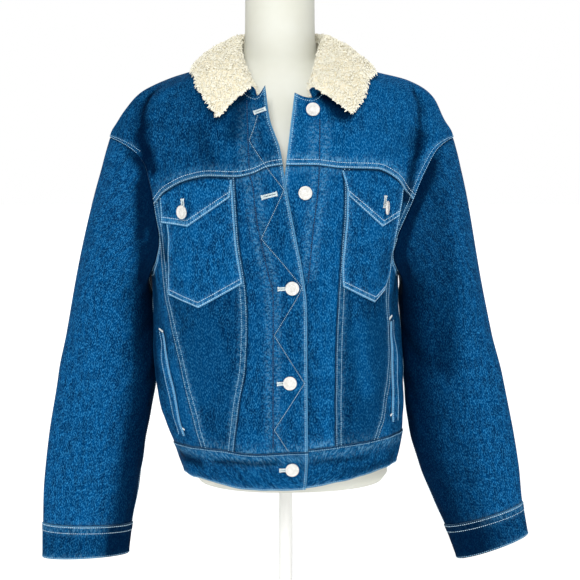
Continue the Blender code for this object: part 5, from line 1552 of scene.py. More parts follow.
@dataclass
class PocketSet:
    """Chest pockets, their flaps and the side pockets' welts, which lie on the fronts."""

    body: JacketBody
    welt_width: float = 15.0
    welts: tuple = ((LEFT, (-168, 472), (-139, 334)), (RIGHT, (143, 488), (148, 350)))

    def lying(self, part: Lying) -> ClothPiece:
        """One pocket or flap: straight runs between its corners, up to just under the yoke's seam.

        Args:
            part: the pocket or flap.

        Returns:
            The piece.
        """
        cut, centre = self.body.cut, part.side.centre_turn
        legs = []
        for start, end, count in zip(part.lower, part.lower[1:], part.counts):
            spots = np.linspace(start, end, 40)
            legs.append(cut.spaced(cut.cloth.turn_at(spots[:, 0], spots[:, 1], centre), spots[:, 1], count))
        low = joined(*legs)
        sides = []
        for corners in ((part.lower[0], *part.inner), (part.lower[-1], *part.outer)):
            path = through([(cut.cloth.turn_at(x, z, centre), z) for x, z in corners])
            sides.append(evenly(path, part.rows, cut.cloth.on))
        ends = [(edge[-1, 0], float(cut.yoke_height(edge[-1, 0])) - YOKE_CLEAR) for edge in sides]
        high = cut.crosswise(lambda turn: cut.yoke_height(turn) - YOKE_CLEAR, *ends, len(low) - 1)
        for edge, corner in zip(sides, (high[0], high[-1])):
            edge += (corner - edge[-1]) * np.linspace(0, 1, part.rows + 1)[:, None]
        grid = cut.patch(low, high, *sides, part.side.out < 0)
        edges = {Edge.LOW: part.low, part.side.inwards: POCKET_ENDS, part.side.outwards: POCKET_ENDS}
        return self.body.piece(part.name, grid, edges, part.faces[1], part.faces[1] - part.faces[0], 0.0, "laid",
            (f"middle_front_{part.side.name}",))

    def welt(self, side: Side, top: tuple[float, float], low: tuple[float, float]) -> ClothPiece:
        """A side pocket's welt: a narrow strip slanting down the side front.

        Args:
            side: the side of the jacket.
            top: its top end, as a place across and a height.
            low: its low end, in the same way.

        Returns:
            The piece.
        """
        cloth, rows, columns = self.body.cut.cloth, 40, 6
        heights = np.linspace(low[1], top[1], rows + 1)
        turns = cloth.turn_at(np.linspace(low[0], top[0], rows + 1), heights, side.centre_turn)
        reach = np.linalg.norm(cloth.points(turns + 0.01, heights) - cloth.points(turns, heights), axis=-1) / 0.01
        spread = np.linspace(-0.5, 0.5, columns + 1)[None, :] * self.welt_width / reach[:, None]
        grid = pack(turns[:, None] + spread, np.broadcast_to(heights[:, None], spread.shape))
        sewn = Finishing((1.9,), 0.1, 3.5, 0.35, folded=True)
        return self.body.piece(f"side_welt_{side.name}", grid, {Edge.FIRST: sewn, Edge.LAST: sewn}, WELT_OUT[1],
            WELT_OUT[1] - WELT_OUT[0], 0.0, "laid", (f"side_front_{side.name}",))

    def pieces(self) -> list[ClothPiece]:
        """The pockets, flaps and welts."""
        return [self.lying(part) for part in POCKETS] + [self.welt(*welt) for welt in self.welts]


@dataclass
class Sleeve:
    """A two-piece sleeve, which fans out from its armhole into oval sections, and its cuff."""

    side: Side
    cut: Cut
    sections: tuple[Section, ...]
    folds: tuple[Fold, ...]
    cuff_seam: float
    cuff_hem: float
    shades: tuple[float, ...]  # painted shade at each share of SLEEVE_SHARES, from its outer line to its inner one
    hollow_shade: tuple[Fold, ...]
    fan_rows: int = 30
    tube_rows: int = 84
    cuff_rows: int = 14
    cuff_columns: int = 96
    cuff_wall: float = 2.2
    cuff_proud: float = 0.8
    # the cuff gets the sleeve's painted shade, made this much darker
    cuff_darker: float = 0.4
    leave_out: float = 0.42  # how the sleeve leaves the armhole: outwards for each 1 down
    leave_top: float = 0.10  # less than that at the shoulder, and more under the arm
    leave_sideways: float = 0.35
    turn_length: float = 350.0
    coarse_rows: float = 7.0  # the fan's fold fade, in the rows of the plain solid
    hollow_from: float = 5.0  # the painted shade of the hollow beside the armhole lies this far from it
    hollow_wide: float = 9.0
    hollow_deep: float = 1.3
    fade_rows: float = 3.0  # folds fade in over this many of the coarse rows
    tuck: float = 0.3  # how far its first row lies inside the armhole
    wave_shift: float = 40.0  # so that the two sleeves have unlike waves

    def ring(self, around: Array, height: Array) -> Array:
        """Points of an oval section: around is 0 on its outer line and a quarter at the front.

        Args:
            around: the share of the way round.
            height: the height above the floor.

        Returns:
            The points, one for each place.
        """
        order = tuple(sorted(self.sections))
        names = ("x", "y", "half_width", "half_depth", "tilt")
        x, y, half_width, half_depth, tilt = (read(order, height, name) for name in names)
        angle, lean = 2 * math.pi * around, np.radians(tilt)
        across = half_width * np.cos(angle)
        return pack(x + self.side.out * across * np.cos(lean), y - half_depth * np.sin(angle),
            height + across * np.sin(lean))

    def normals(self, grid: Array) -> Array:
        """Outward normals of a tube of rings."""
        around = np.roll(grid, -1, axis=1) - np.roll(grid, 1, axis=1)
        return unit(np.cross(around, np.gradient(grid, axis=0))) * self.side.out

    def grid(self) -> tuple[Array, Array, Array, Array, int]:
        """The sleeve's outer points row by row from the armhole to the cuff.

        The fan is a cubic from each armhole point, which leaves it steeply downwards, to the first oval
        section, which it meets along the tube. Folds and waves fade in over its first rows.

        Returns:
            Points, normals, the depth of the folds, each column's turn round it, and the column of the underarm.
        """
        legs, cloth, out = self.cut.legs[self.side.name], self.cut.cloth, self.side.out
        path = np.concatenate([legs["top"], legs["pocket"][1:], legs["arm"][1:], legs["back_arm"][::-1][1:],
            legs["back_top"][::-1][1:-1]])
        ring, ring_normals = cloth.surface(path[:, 0], path[:, 1]), cloth.normals(path[:, 0], path[:, 1])
        underarm = self.cut.top_to_yoke + self.cut.yoke_to_pocket + self.cut.pocket_to_arm
        gaps = np.linalg.norm(np.roll(ring, -1, axis=0) - ring, axis=1)
        front, back = gaps[:underarm], gaps[underarm:]
        around = np.concatenate([np.concatenate([[0], np.cumsum(front)]) / front.sum() * 0.5,
            0.5 + np.cumsum(back)[:-1] / back.sum() * 0.5])
        top = float(self.sections[0].height)
        first, below = (self.ring(around, np.full(len(around), top - drop)) for drop in (0, 2))
        chord = first - ring
        length = np.linalg.norm(chord, axis=1, keepdims=True)
        outward = self.leave_out - self.leave_top * np.cos(2 * math.pi * around)
        leave = unit(pack(outward * out, self.leave_sideways * chord[:, 1] / length[:, 0], np.full(len(ring), -1.0)))
        arrive = unit(below - first)
        t = np.linspace(0, 1, self.fan_rows + 1)[:, None, None]
        fan = (ring * (1 + 2 * t) * (1 - t) ** 2 + leave * length * t * (1 - t) ** 2 + first * (3 - 2 * t) * t**2
            - arrive * length * (1 - t) * t**2)
        heights = np.linspace(top, self.cuff_seam, self.tube_rows + 1)[1:]
        tube = self.ring(around[None, :], np.broadcast_to(heights[:, None], (self.tube_rows, len(around))))
        grid = np.concatenate([fan, tube])
        normals = self.normals(grid)
        turn = around[None, :]
        depth = fold_depth(self.folds + LESSER_SLEEVE_FOLDS, turn, grid[..., 2], self.turn_length)
        wave = np.sin(math.pi * turn) ** 2 * ripple(turn * self.turn_length + self.wave_shift * out, grid[..., 2])
        rows_in = np.arange(len(grid)) * self.coarse_rows / self.fan_rows
        depth = (depth + wave) * clamp(rows_in / self.fade_rows)[:, None]
        grid = grid - normals * depth[..., None]
        normals = self.normals(grid)
        alike = clamp(np.sum(normals[0] * ring_normals, axis=1, keepdims=True))
        near = alike * clamp(1 - rows_in)[:, None, None]
        normals = unit(normals * (1 - near) + ring_normals * near)
        into_hole = unit(np.cross(ring_normals, np.roll(ring, -1, axis=0) - np.roll(ring, 1, axis=0)))
        into_hole *= np.sign(np.sum(into_hole * (ring.mean(axis=0) - ring), axis=1, keepdims=True))
        grid[0] += into_hole * self.tuck
        return grid, normals, depth, around, underarm

    def inwards(self, around: Array) -> Array:
        """How far round each place is: 0 on the outer line, and 1 beside the body."""
        return 0.5 - 0.5 * np.cos(2 * math.pi * around)

    def shading(self, grid: Array, around: Array) -> Array:
        """How much painted shade each place gets: more towards the body, and in the hollow beside the armhole.

        Args:
            grid: the points of the piece.
            around: the share of the way round.

        Returns:
            The painted shade at each place, darker below 0.
        """
        share = self.inwards(around)
        away = np.min([np.linalg.norm(grid - spot, axis=-1) for spot in grid[0]], axis=0)
        beside = bell(away - self.hollow_from, self.hollow_wide)
        hollow = self.hollow_deep * beside * clamp((share - 0.08) / 0.12)
        hollow = hollow + fold_depth(self.hollow_shade, around[None, :], grid[..., 2], self.turn_length, True)
        return smooth(share, SLEEVE_SHARES, self.shades)[None, :] - hollow

    def pieces(self) -> list[ClothPiece]:
        """The top sleeve, the under sleeve and the cuff.

        Returns:
            The three pieces.
        """
        grid, normals, depth, around, underarm = self.grid()
        shading = self.shading(grid, around)
        back_seam = underarm + self.cut.arm_to_back_yoke
        count = grid.shape[1]
        hangs_from = (f"front_yoke_{self.side.name}", "back_yoke")
        # The armhole edge gets a dark line of painted shade.
        ends = {Edge.LOW: Finishing((), 0.0, 1.0, 0.0, ditch_shade=0.8), Edge.HIGH: PLAIN}
        sewn = {Edge.FIRST: FELLED, Edge.LAST: Finishing((2.0,), 0.2, 4.0, 0.4)}
        top = [k % count for k in range(back_seam, count + underarm + 1)]
        under = list(range(underarm, back_seam + 1))
        made = []
        for name, columns, edges in (("top_sleeve", top, ends | sewn), ("under_sleeve", under, ends)):
            made.append(ClothPiece(f"{name}_{self.side.name}", grid[:, columns], normals[:, columns], edges=edges,
                fold=depth[:, columns], rests_on=hangs_from, shading=shading[:, columns]))
        around = np.linspace(0, 1, self.cuff_columns, endpoint=False)
        heights = np.linspace(self.cuff_seam - 0.3, self.cuff_hem, self.cuff_rows + 1)[:, None]
        cuff = self.ring(around[None, :], np.broadcast_to(heights, (self.cuff_rows + 1, self.cuff_columns)))
        normal = self.normals(cuff)
        points = cuff + normal * self.cuff_proud
        points, normal = (np.concatenate([part, part[:, :1]], axis=1) for part in (points, normal))
        edges = {Edge.LOW: Finishing((1.8, 10.5), 0.5, 11.0, 0.6, folded=True, faded=False),
            Edge.HIGH: Finishing((2.0,), 0.3, 4.0, 0.6, folded=True)}
        share = self.inwards(np.append(around, 0.0))
        painted_cuff_shade = np.broadcast_to(smooth(share, SLEEVE_SHARES, self.shades) - self.cuff_darker, points.shape[:2])
        made.append(ClothPiece(f"cuff_{self.side.name}", points, normal, self.cuff_wall, True, edges=edges,
            rests_on=(f"top_sleeve_{self.side.name}",), shading=painted_cuff_shade))
        return made


@dataclass
class CollarPair:
    """The upper collar in curly sherpa and the under collar in denim, folded over the neckline."""

    cut: Cut
    sherpa: float = 5.0
    sherpa_edge: float = 3.2
    sherpa_wall: float = 2.0
    denim_wall: float = 1.5
    foot_in: float = 2.3  # the stand is sewn inside the neckline, and starts this far in and down from it
    foot_down: float = 3.5
    roll_half: float = 5.0
    roll_share: float = 0.28  # the roll is no wider than this share of the stand
    roll_drop: float = 0.6
    edge_lift: float = 4.5
    half_gap: float = 0.15
    bulge: Corners = ((0, 2), (0.15, 3), (0.5, 5), (0.85, 3), (1, 2))  # along the collar, and how far out
    bulge_at: float = 0.45  # its place between the roll and the edge
    lumps: Corners = ((0.3, 9.0), (1.2, 7.5), (2.1, 11.0), (2.8, 6.5), (4.0, 8.2))  # each wave's way and length
    lump_high: float = 0.30
    thin: tuple[float, float] = (0.12, 0.04)  # the pile thins out over these shares of its width and length
    stations: int = 240
    profile: tuple[int, int, int] = (24, 18, 46)  # faces up the stand, over the roll and down the fall
    curls: int = 9500
    tufts: float = 4.2  # how far the outermost curls are pushed past the collar's edges
    tuft_parts: tuple[int, int] = (25, 40)  # they grow on the last of this many parts of its width and length
    # Each range is (least, most), for a tuft and for a curl. A bend is the arc's angle in radians.
    radii: Corners = ((3.0, 4.5), (1.2, 2.1))
    bends: Corners = ((1.0, 1.6), (2.0, 3.8))
    lean: tuple[float, float] = (0.25, 1.0)
    curl_thick: tuple[float, float] = (0.8, 1.2)
    curl_lift: tuple[float, float] = (-0.2, 0.3)
    seed: int = 7

    def grid(self) -> tuple[Array, Array]:
        """The fold surface between sherpa and denim, station by station.

        Each station is a smooth curve from the neckline up to the roll, over its rounded top, and down
        past a slight bulge to the collar's outer edge.

        Returns:
            Points, and normals on the sherpa's side.
        """
        cut, cloth = self.cut, self.cut.cloth
        left = cut.marks_path(LEFT_NECKLINE[1:], 4.0)
        right = cut.marks_path(RIGHT_NECKLINE[2:], 0.0)
        turns = np.linspace(3, 1, 60)
        back = pack(turns, read(BACK_NECKLINE, turns, "height", "at"))
        along = np.linspace(0, 1, self.stations + 1)
        spots = evenly(joined(left, back, right[::-1]), self.stations, cloth.on)
        foot = cloth.surface(spots[:, 0], spots[:, 1], -self.foot_in)
        foot[:, 2] -= self.foot_down
        names = ("roll_x", "roll_y", "roll_height", "edge_turn", "edge_height")
        x, y, z, turn, height = (read(COLLAR, along, name, "along") for name in names)
        roll = pack(x, y, z)
        edge = cloth.surface(turn, height, self.edge_lift)
        rail = np.gradient(roll, axis=0)
        outward = unit(np.cross(edge - roll, rail))
        outward *= np.sign(outward[:, 2:3])
        level = np.cross(rail, [0, 0, 1])
        level = unit(level * np.sign(np.sum(level * (edge - roll), axis=1, keepdims=True)))
        swell = np.interp(along, *zip(*self.bulge))[:, None]
        half = np.minimum(self.roll_half, self.roll_share * np.linalg.norm(roll - foot, axis=1))[:, None]
        drop = np.concatenate([np.zeros((len(half), 2)), half * self.roll_drop], axis=1)
        inner, outer = roll - level * half - drop, roll + level * half - drop
        middle = outer + self.bulge_at * (edge - outer) + outward * swell
        knots = np.stack([foot, foot + 0.5 * (inner - foot), inner, roll, outer, middle, edge])
        path = through(knots.reshape(7, -1), 8).reshape(-1, len(along), 3)
        rows = []
        for leg, count in zip((path[:17], path[16:33], path[32:]), self.profile):
            run = run_along(leg, axis=0)
            share = np.linspace(0, 1, len(run))
            even = np.linspace(0, 1, count + 1)
            picks = np.stack([np.interp(even, run[:, k] / run[-1, k], share) for k in range(len(along))], 1)
            place = np.clip((picks * (len(run) - 1)).astype(int), 0, len(run) - 2)
            part = (picks * (len(run) - 1) - place)[..., None]
            column = np.arange(len(along))[None, :]
            rows.append(leg[place, column] * (1 - part) + leg[place + 1, column] * part)
        grid = joined(*rows).swapaxes(0, 1)
        normals = unit(np.cross(np.gradient(grid, axis=0), np.gradient(grid, axis=1)))
        crown = normals[:, self.profile[0] + self.profile[1] // 2, 2]
        return grid, normals * np.sign(crown.mean())

    def build(self, pile: Material, ground: Material, denim: Material, thread: Material) -> None:
        """Builds both collars, the curls and the stitches round the under collar's edge.

        Args:
            pile: the finish of the curls.
            ground: the finish of the cloth under the curls.
            denim: the finish of the under collar.
            thread: the finish of the thread.
        """
        grid, normals = self.grid()
        along, across = np.linspace(0, 1, grid.shape[0])[:, None], np.linspace(0, 1, grid.shape[1])[None, :]
        rim = np.minimum(clamp((1 - across) / self.thin[0]), clamp(np.minimum(along, 1 - along) / self.thin[1]))
        thick = self.sherpa_edge + (self.sherpa - self.sherpa_edge) * np.sqrt(rim)
        run = run_along(grid, axis=0)
        down = run_along(grid, axis=1)
        lumps = sum(np.sin(2 * math.pi * (run * math.cos(angle) + down * math.sin(angle)) / length + angle * 9)
            for angle, length in self.lumps)
        thick = thick + self.lump_high * lumps * rim
        outer = grid + normals * thick[..., None]
        self.curl_piece(outer, pile, rim)
        yokes = ("front_yoke_left", "front_yoke_right", "back_yoke")
        ClothPiece("collar_sherpa", outer, normals, self.sherpa_wall, gap=0.0, held="folded", rests_on=yokes,
            slot="sherpa").build(ground)
        under = ClothPiece("collar_denim", grid - normals * self.half_gap, -normals, self.denim_wall, gap=0.0,
            edges={Edge.LAST: Finishing((5.0,), 0.1, 6.0, 0.4, folded=True)}, held="folded", rests_on=yokes)
        under.build(denim)
        Stitching("collar_stitches", lines=under.lines(True)).build(thread)

    def curl_piece(self, outer: Array, pile: Material, rim: Array) -> None:
        """Small curls over the sherpa, and longer tufts that stand out past its edges.

        A curl's middle line is an arc of a circle that bulges out of the surface. It is thickest in the
        middle. A tuft is a flatter arc that points away from the collar.

        Args:
            outer: the points of the sherpa's outer face.
            pile: the finish of the curls.
            rim: 0 at the edge of the sherpa, rising to 1 inside it.
        """
        draw, count = np.random.default_rng(self.seed), self.curls
        rows, columns = outer.shape[:2]
        cell = np.linalg.norm(np.cross(outer[1:, :-1] - outer[:-1, :-1], outer[:-1, 1:] - outer[:-1, :-1]), axis=-1)
        cell = cell * (1 + 2.0 * (rim[:-1, :-1] < 0.4))
        row, column = np.divmod(draw.choice(cell.size, count, p=(cell / cell.sum()).reshape(-1)), columns - 1)
        u, v = draw.random((2, count, 1))
        centre = (outer[row, column] * (1 - u) * (1 - v) + outer[row + 1, column] * u * (1 - v)
            + outer[row, column + 1] * (1 - u) * v + outer[row + 1, column + 1] * u * v)
        slopes = np.gradient(outer, axis=0), np.gradient(outer, axis=1)
        along, across = (unit(slope[row, column]) for slope in slopes)
        facing = unit(np.cross(slopes[0], slopes[1])[row, column])
        if np.sum(facing * unit(centre - outer.mean(axis=(0, 1)))) < 0:
            facing = -facing
        sideways = np.cross(facing, along)
        way = draw.uniform(0, 2 * math.pi, count)[:, None]
        first = along * np.cos(way) + sideways * np.sin(way)
        share = row / (rows - 1)
        wide, long = self.tuft_parts
        past = across * clamp(column / (columns - 1) * wide - (wide - 1))[:, None]
        past = past + 0.4 * along * (clamp(share * long - (long - 1)) - clamp(1 - share * long))[:, None]
        tuft = np.linalg.norm(past, axis=1, keepdims=True) > 0.3
        first = np.where(tuft, unit(past + 0.45 * first), first)
        lean = draw.uniform(*self.lean, count)[:, None]
        second = unit(np.cross(facing, first) * (1 - lean) + facing * lean)
        stations, sides = 4, 3
        radius, bend = (np.where(tuft, *(draw.uniform(*limits, (count, 1)) for limits in both))
            for both in (self.radii, self.bends))
        angle = np.linspace(-0.5, 0.5, stations)[None, :] * bend
        arc = first[:, None] * np.sin(angle)[..., None] + second[:, None] * np.cos(angle)[..., None]
        middle = arc * radius[..., None]
        thick = draw.uniform(*self.curl_thick, (count, 1))
        swell = np.sin(np.linspace(0.14, 0.86, stations) * math.pi)[None, :] * thick
        spin = np.linspace(0, 2 * math.pi, sides, endpoint=False)
        away, normal = unit(middle), unit(np.cross(first, second))
        ring = away[:, :, None] * np.cos(spin)[:, None] + normal[:, None, None] * np.sin(spin)[:, None]
        sunk = second * radius * np.where(tuft, 1.0, np.cos(bend / 2))
        lifted = centre + facing * draw.uniform(*self.curl_lift, (count, 1))
        lifted = lifted + past * draw.uniform(0, self.tufts, (count, 1))
        points = (lifted - sunk)[:, None, None] + middle[:, :, None] + ring * swell[..., None, None]
        index = np.arange(stations * sides).reshape(stations, sides)
        ahead = np.roll(index, -1, axis=1)
        walls = pack(index[:-1], index[1:], ahead[1:], ahead[:-1]).reshape(-1, 4)
        ends = np.stack([index[0], index[-1, ::-1]])
        shift = (np.arange(count) * stations * sides)[:, None, None]
        faces = [(group[None] + shift).reshape(-1, group.shape[1])[:, ::-1] for group in (walls, ends)]
        make_object("collar_curls", points.reshape(-1, 3), faces, pile, sharp=1.0)
        LOG.info("collar_curls: %d curls, %d of them tufts", count, int(tuft.sum()))


@dataclass(frozen=True)
class ButtonPlace:
    """Where a button sits: as seen from the front, on which layer, and how far it is tipped."""

    name: str
    x: float
    height: float
    centre_turn: float
    out: float
    tilt: float = 0.0


@dataclass
class ButtonSet:
    """Flat sew-on buttons with a raised rim and a shallow ring, laid on the cloth."""

    cloth: BodyCloth
    radius: float = 9.0
    thick: float = 2.6
    dish: float = 0.7
    stands: float = 0.5
    steps: int = 48
    places: tuple[ButtonPlace, ...] = table_of(ButtonPlace, ("front_button_1", 36, 769, 0.0, 0.0),
        ("front_button_2", 26, 662, 0.0, 0.0), ("front_button_3", 9, 539, 4.0, 0.0),
        ("front_button_4", 6, 414, 4.0, 0.0), ("front_button_5", 9, 296, 4.0, 0.8),
        ("flap_button_left", -131, 637, 4.0, FLAP_OUT[1], -24), ("flap_button_right", 127, 643, 0.0, FLAP_OUT[1], 56))

    def profile(self) -> Array:
        """The button's section: a rounded rim, a dished face with a fine ring in it, and a flat back.

        Returns:
            The section's points, each a radius and a height.
        """
        r, t, d = self.radius, self.thick, self.dish
        turn = np.linspace(0, math.pi / 2, 6)
        lip = pack(r - 0.9 + 0.9 * np.cos(turn), t - 0.9 + 0.9 * np.sin(turn))
        face = [(r - 1.6, t - 0.1), (r - 2.2, t - 0.45), (r - 2.8, t - d), (r - 4.0, t - d), (r - 4.3, t - d - 0.22),
            (r - 4.6, t - d), (1.0, t - d + 0.08)]
        return np.concatenate([[(0, 0)], [(r - 0.8, 0), (r - 0.2, 0.25), (r, 0.8)], lip, face, [(0, t - d + 0.08)]])

    def build(self, material: Material) -> None:
        """Builds the buttons, each in its place.

        Args:
            material: the finish of the buttons.
        """
        points, faces = lathe(self.profile(), self.steps)
        for place in self.places:
            turn = self.cloth.turn_at(place.x, place.height, place.centre_turn)
            height = np.array(float(place.height))
            lift = place.out + self.stands + self.radius * math.sin(abs(math.radians(place.tilt)))
            middle = self.cloth.surface(turn, height, lift)
            laid = Vector(self.cloth.normals(turn, height)).to_track_quat("Z", "Y")
            turned = np.array((Quaternion((0, 0, 1), math.radians(place.tilt)) @ laid).to_matrix())
            button = make_object(f"{place.name}_resin", points @ turned.T + middle, faces, material, sharp=60.0)
            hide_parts(place.name)
            LOG.info("%s at x %.0f, height %.0f mm", place.name, place.x, place.height)


@dataclass(frozen=True)
class Worked:
    """A worked buttonhole or bar tack: where it runs from and to, its width, and the layer it is on."""

    start: tuple[float, float]
    end: tuple[float, float]
    centre_turn: float
    width: float
    out: float = 0.0
    slit: bool = True


@dataclass
class HandWork:
    """Ivory buttonholes and bar tacks: close rows of thread laid across their line."""

    front: Front
    pitch: float = 0.62
    row_out: float = 0.27  # the two rows beside a slit, and their threads' length, in shares of its width
    row_thread: float = 0.56
    bar_threads: int = 9
    bar_length: float = 2.6
    slit_short: float = 3.0
    line_out: float = 0.25
    thread: tuple[float, float] = (0.85, 0.75)  # its width, and how far it stands out
    # the dark strip of painted shade in each slit: its width, and how far it stands out
    slit: tuple[float, float] = (0.55, 0.6)
    places: tuple[Worked, ...] = table_of(
        Worked,  # the five front buttonholes, those of the flaps, and the tacks of the side pockets
        ((-40, 764), (-26, 769), 4.0, 5.2),
        ((-30, 656), (-11, 661), 4.0, 5.6),
        ((-9, 538), (14, 539), 4.0, 5.0),
        ((-10, 413), (12, 414), 4.0, 5.0),
        ((-7, 295), (15, 296), 4.0, 5.0, 0.8),
        ((-132.5, 653), (-131.5, 637), 4.0, 4.6, FLAP_OUT[1]),
        ((129.0, 657), (127.5, 643), 0.0, 3.6, FLAP_OUT[1]),
        ((-172, 475), (-165, 473), 4.0, 2.6, WELT_OUT[0], False),
        ((-141, 348), (-133, 344), 4.0, 2.6, WELT_OUT[0], False),
        ((137, 491), (143, 494), 0.0, 3.0, WELT_OUT[0], False),
        ((141, 360), (147, 365), 0.0, 2.6, WELT_OUT[0], False),
    )

    def build(self, thread: Material, shade: Material) -> None:
        """Builds all the threads as one mesh, and dark strips of painted shade in the slits as another.

        Args:
            thread: the finish of the threads.
            shade: the finish of the slits' painted shade.
        """
        centres, ways, facings, lengths, slits = [], [], [], [], []
        for work in self.places:
            line = self.front.path([work.start, work.end], work.centre_turn, work.out + self.line_out, dense=1)
            (a, b), facing = line.points, unit(line.normals.mean(axis=0))
            length = float(np.linalg.norm(b - a))
            count = int(length / self.pitch)
            spots = a + (b - a) * np.linspace(0, 1, count)[:, None]
            way = unit(b - a)
            side = np.cross(facing, way)
            laid = [(spots, side, work.width)]
            if work.slit:
                laid = [(spots + side * row * work.width, side, work.width * self.row_thread)
                    for row in (-self.row_out, self.row_out)]
                bar = side * np.linspace(-0.5, 0.5, self.bar_threads)[:, None] * work.width
                laid += [(end + bar, way, self.bar_length) for end in (a, b)]
                slits.append(((a + b) / 2, way, facing, length - self.slit_short))
            for middles, along, size in laid:
                centres.append(middles)
                ways.append(np.broadcast_to(along, middles.shape))
                lengths.append(np.full(len(middles), size))
                facings.append(np.broadcast_to(facing, middles.shape))
        spindles("buttonholes_and_tacks", *(np.concatenate(part) for part in (centres, ways, facings)),
            np.concatenate(lengths), *self.thread, thread)
        middle, way, facing, length = (np.array(part) for part in zip(*slits))
        spindles("buttonhole_slits", middle, way, facing, length, *self.slit, shade)
        LOG.info("buttonholes_and_tacks: %d places", len(self.places))


@dataclass
class Placket:
    """The rows sewn down both plackets, and a plain zigzag down the left one."""

    front: Front
    zigzag_top: float = 761.0
    zigzag_low: float = 322.0
    zigzag_reach: float = 414.0  # it comes to the edge at this height, level with a button, and at each period
    zigzag_period: float = 126.0
    zigzag_inset: float = 4.0

    def zigzag(self, out: float) -> Line:
        """An evenly spaced zigzag between the placket's inner row and its edge: a triangle wave of the height.

        Args:
            out: the distance moved out.

        Returns:
            The path with its normals.
        """
        heights = np.linspace(self.zigzag_low, self.zigzag_top, 440)
        row = np.asarray(PLACKET_LEFT, float)[::-1]
        inner = smooth(heights, row[:, 1], row[:, 0]) + 1.5
        outer = read(LEFT_EDGE, heights, "at") - self.zigzag_inset
        phase = (heights - self.zigzag_reach) / self.zigzag_period
        swing = 1 - 2 * np.abs(phase - np.floor(phase + 0.5))
        marks = pack(inner + (outer - inner) * swing, heights)
        return self.front.path(marks, 4.0, out, dense=1)

    def lines(self, out: float) -> list[Line]:
        """The rows down both plackets, raised by a distance."""
        return [self.front.path(PLACKET_LEFT, 4.0, out), self.front.path(PLACKET_RIGHT, 0.0, out)]


@dataclass
class DressForm:
    """A limbless figure with a smooth shell, closed at its neck and hem, on a pole and a round base."""

    figure: Figure
    steps: int = 120
    rows: int = 110
    cap_rows: int = 8
    cap_dish: float = 2.0
    cap_shares: tuple[float, float] = (0.96, 0.08)
    neck_rows: int = 8
    base_radius: float = 160.0
    base_thick: float = 12.0
    base_round: float = 3.0
    pole_radius: float = 11.0
    touch_gap: float = 0.3

    def build_shell(self, material: Material) -> None:
        """The shell: level rings, then caps whose rings shrink to a pole, the upper one slightly dished.

        Args:
            material: the finish of the shell.
        """
        low, high = FORM[0].height, FORM[-1].height
        half, rim = self.rows // 2, self.neck_rows
        spans = ((low, 770, half), (772, high - rim, half), (high - rim + 1, high, rim))
        heights = np.concatenate([np.linspace(*span) for span in spans])
        turns = np.linspace(0, 4, self.steps, endpoint=False)
        grid = self.figure.points(turns[None, :], heights[:, None])
        share = np.linspace(*self.cap_shares, self.cap_rows)[:, None, None]
        foot, crown = grid[0], grid[-1]
        foot_cap = (foot.mean(axis=0) + (foot - foot.mean(axis=0)) * share)[::-1]
        crown_cap = crown.mean(axis=0) + (crown - crown.mean(axis=0)) * share
        crown_cap[..., 2] -= self.cap_dish * (1 - share[..., 0] ** 2)
        rings = np.concatenate([foot_cap, grid, crown_cap])
        poles = [foot.mean(axis=0), crown.mean(axis=0) - (0, 0, self.cap_dish)]
        points = np.concatenate([rings.reshape(-1, 3), poles])
        shell = make_object("dress_form_shell", points, skin(len(rings), self.steps), material, sharp=60.0)
        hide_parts("dress_form")
        LOG.info("dress_form_shell: %.0f to %.0f mm", low, high)

    def build_stand(self, material: Material) -> None:
        """The pole with a small flange at each end, and the base with a rounded rim, both turned.

        Args:
            material: the finish of the stand.
        """
        top = FORM[0].height - self.touch_gap
        foot = self.base_thick + self.touch_gap
        r = self.pole_radius
        pole = np.array([(0, foot), (r - 0.6, foot), (r, foot + 0.6), (r, foot + 13.4), (r - 0.6, foot + 14),
            (r - 1.4, foot + 14.6), (r - 1.4, top - 14.6), (r - 0.6, top - 14), (r, top - 13.4), (r, top - 0.6),
            (r - 0.6, top), (0, top)])
        turn = np.linspace(0, math.pi / 2, 8)
        rim = pack(self.base_radius - self.base_round * (1 - np.cos(turn)), self.base_thick - self.base_round
            * (1 - np.sin(turn)))
        base = np.concatenate([[(0, 0), (self.base_radius - 1.5, 0), (self.base_radius, 1.5)], rim,
            [(self.base_radius * 0.6, self.base_thick), (0, self.base_thick)]])
        for name, profile, steps in (("stand_pole", pole, 48), ("stand_base", base, 128)):
            points, faces = lathe(profile, steps)
            piece = make_object(f"{name}_enamelled", points, faces, material, sharp=40.0)
            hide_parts(name)
            LOG.info("%s_enamelled: %d faces", name, sum(len(group) for group in faces))


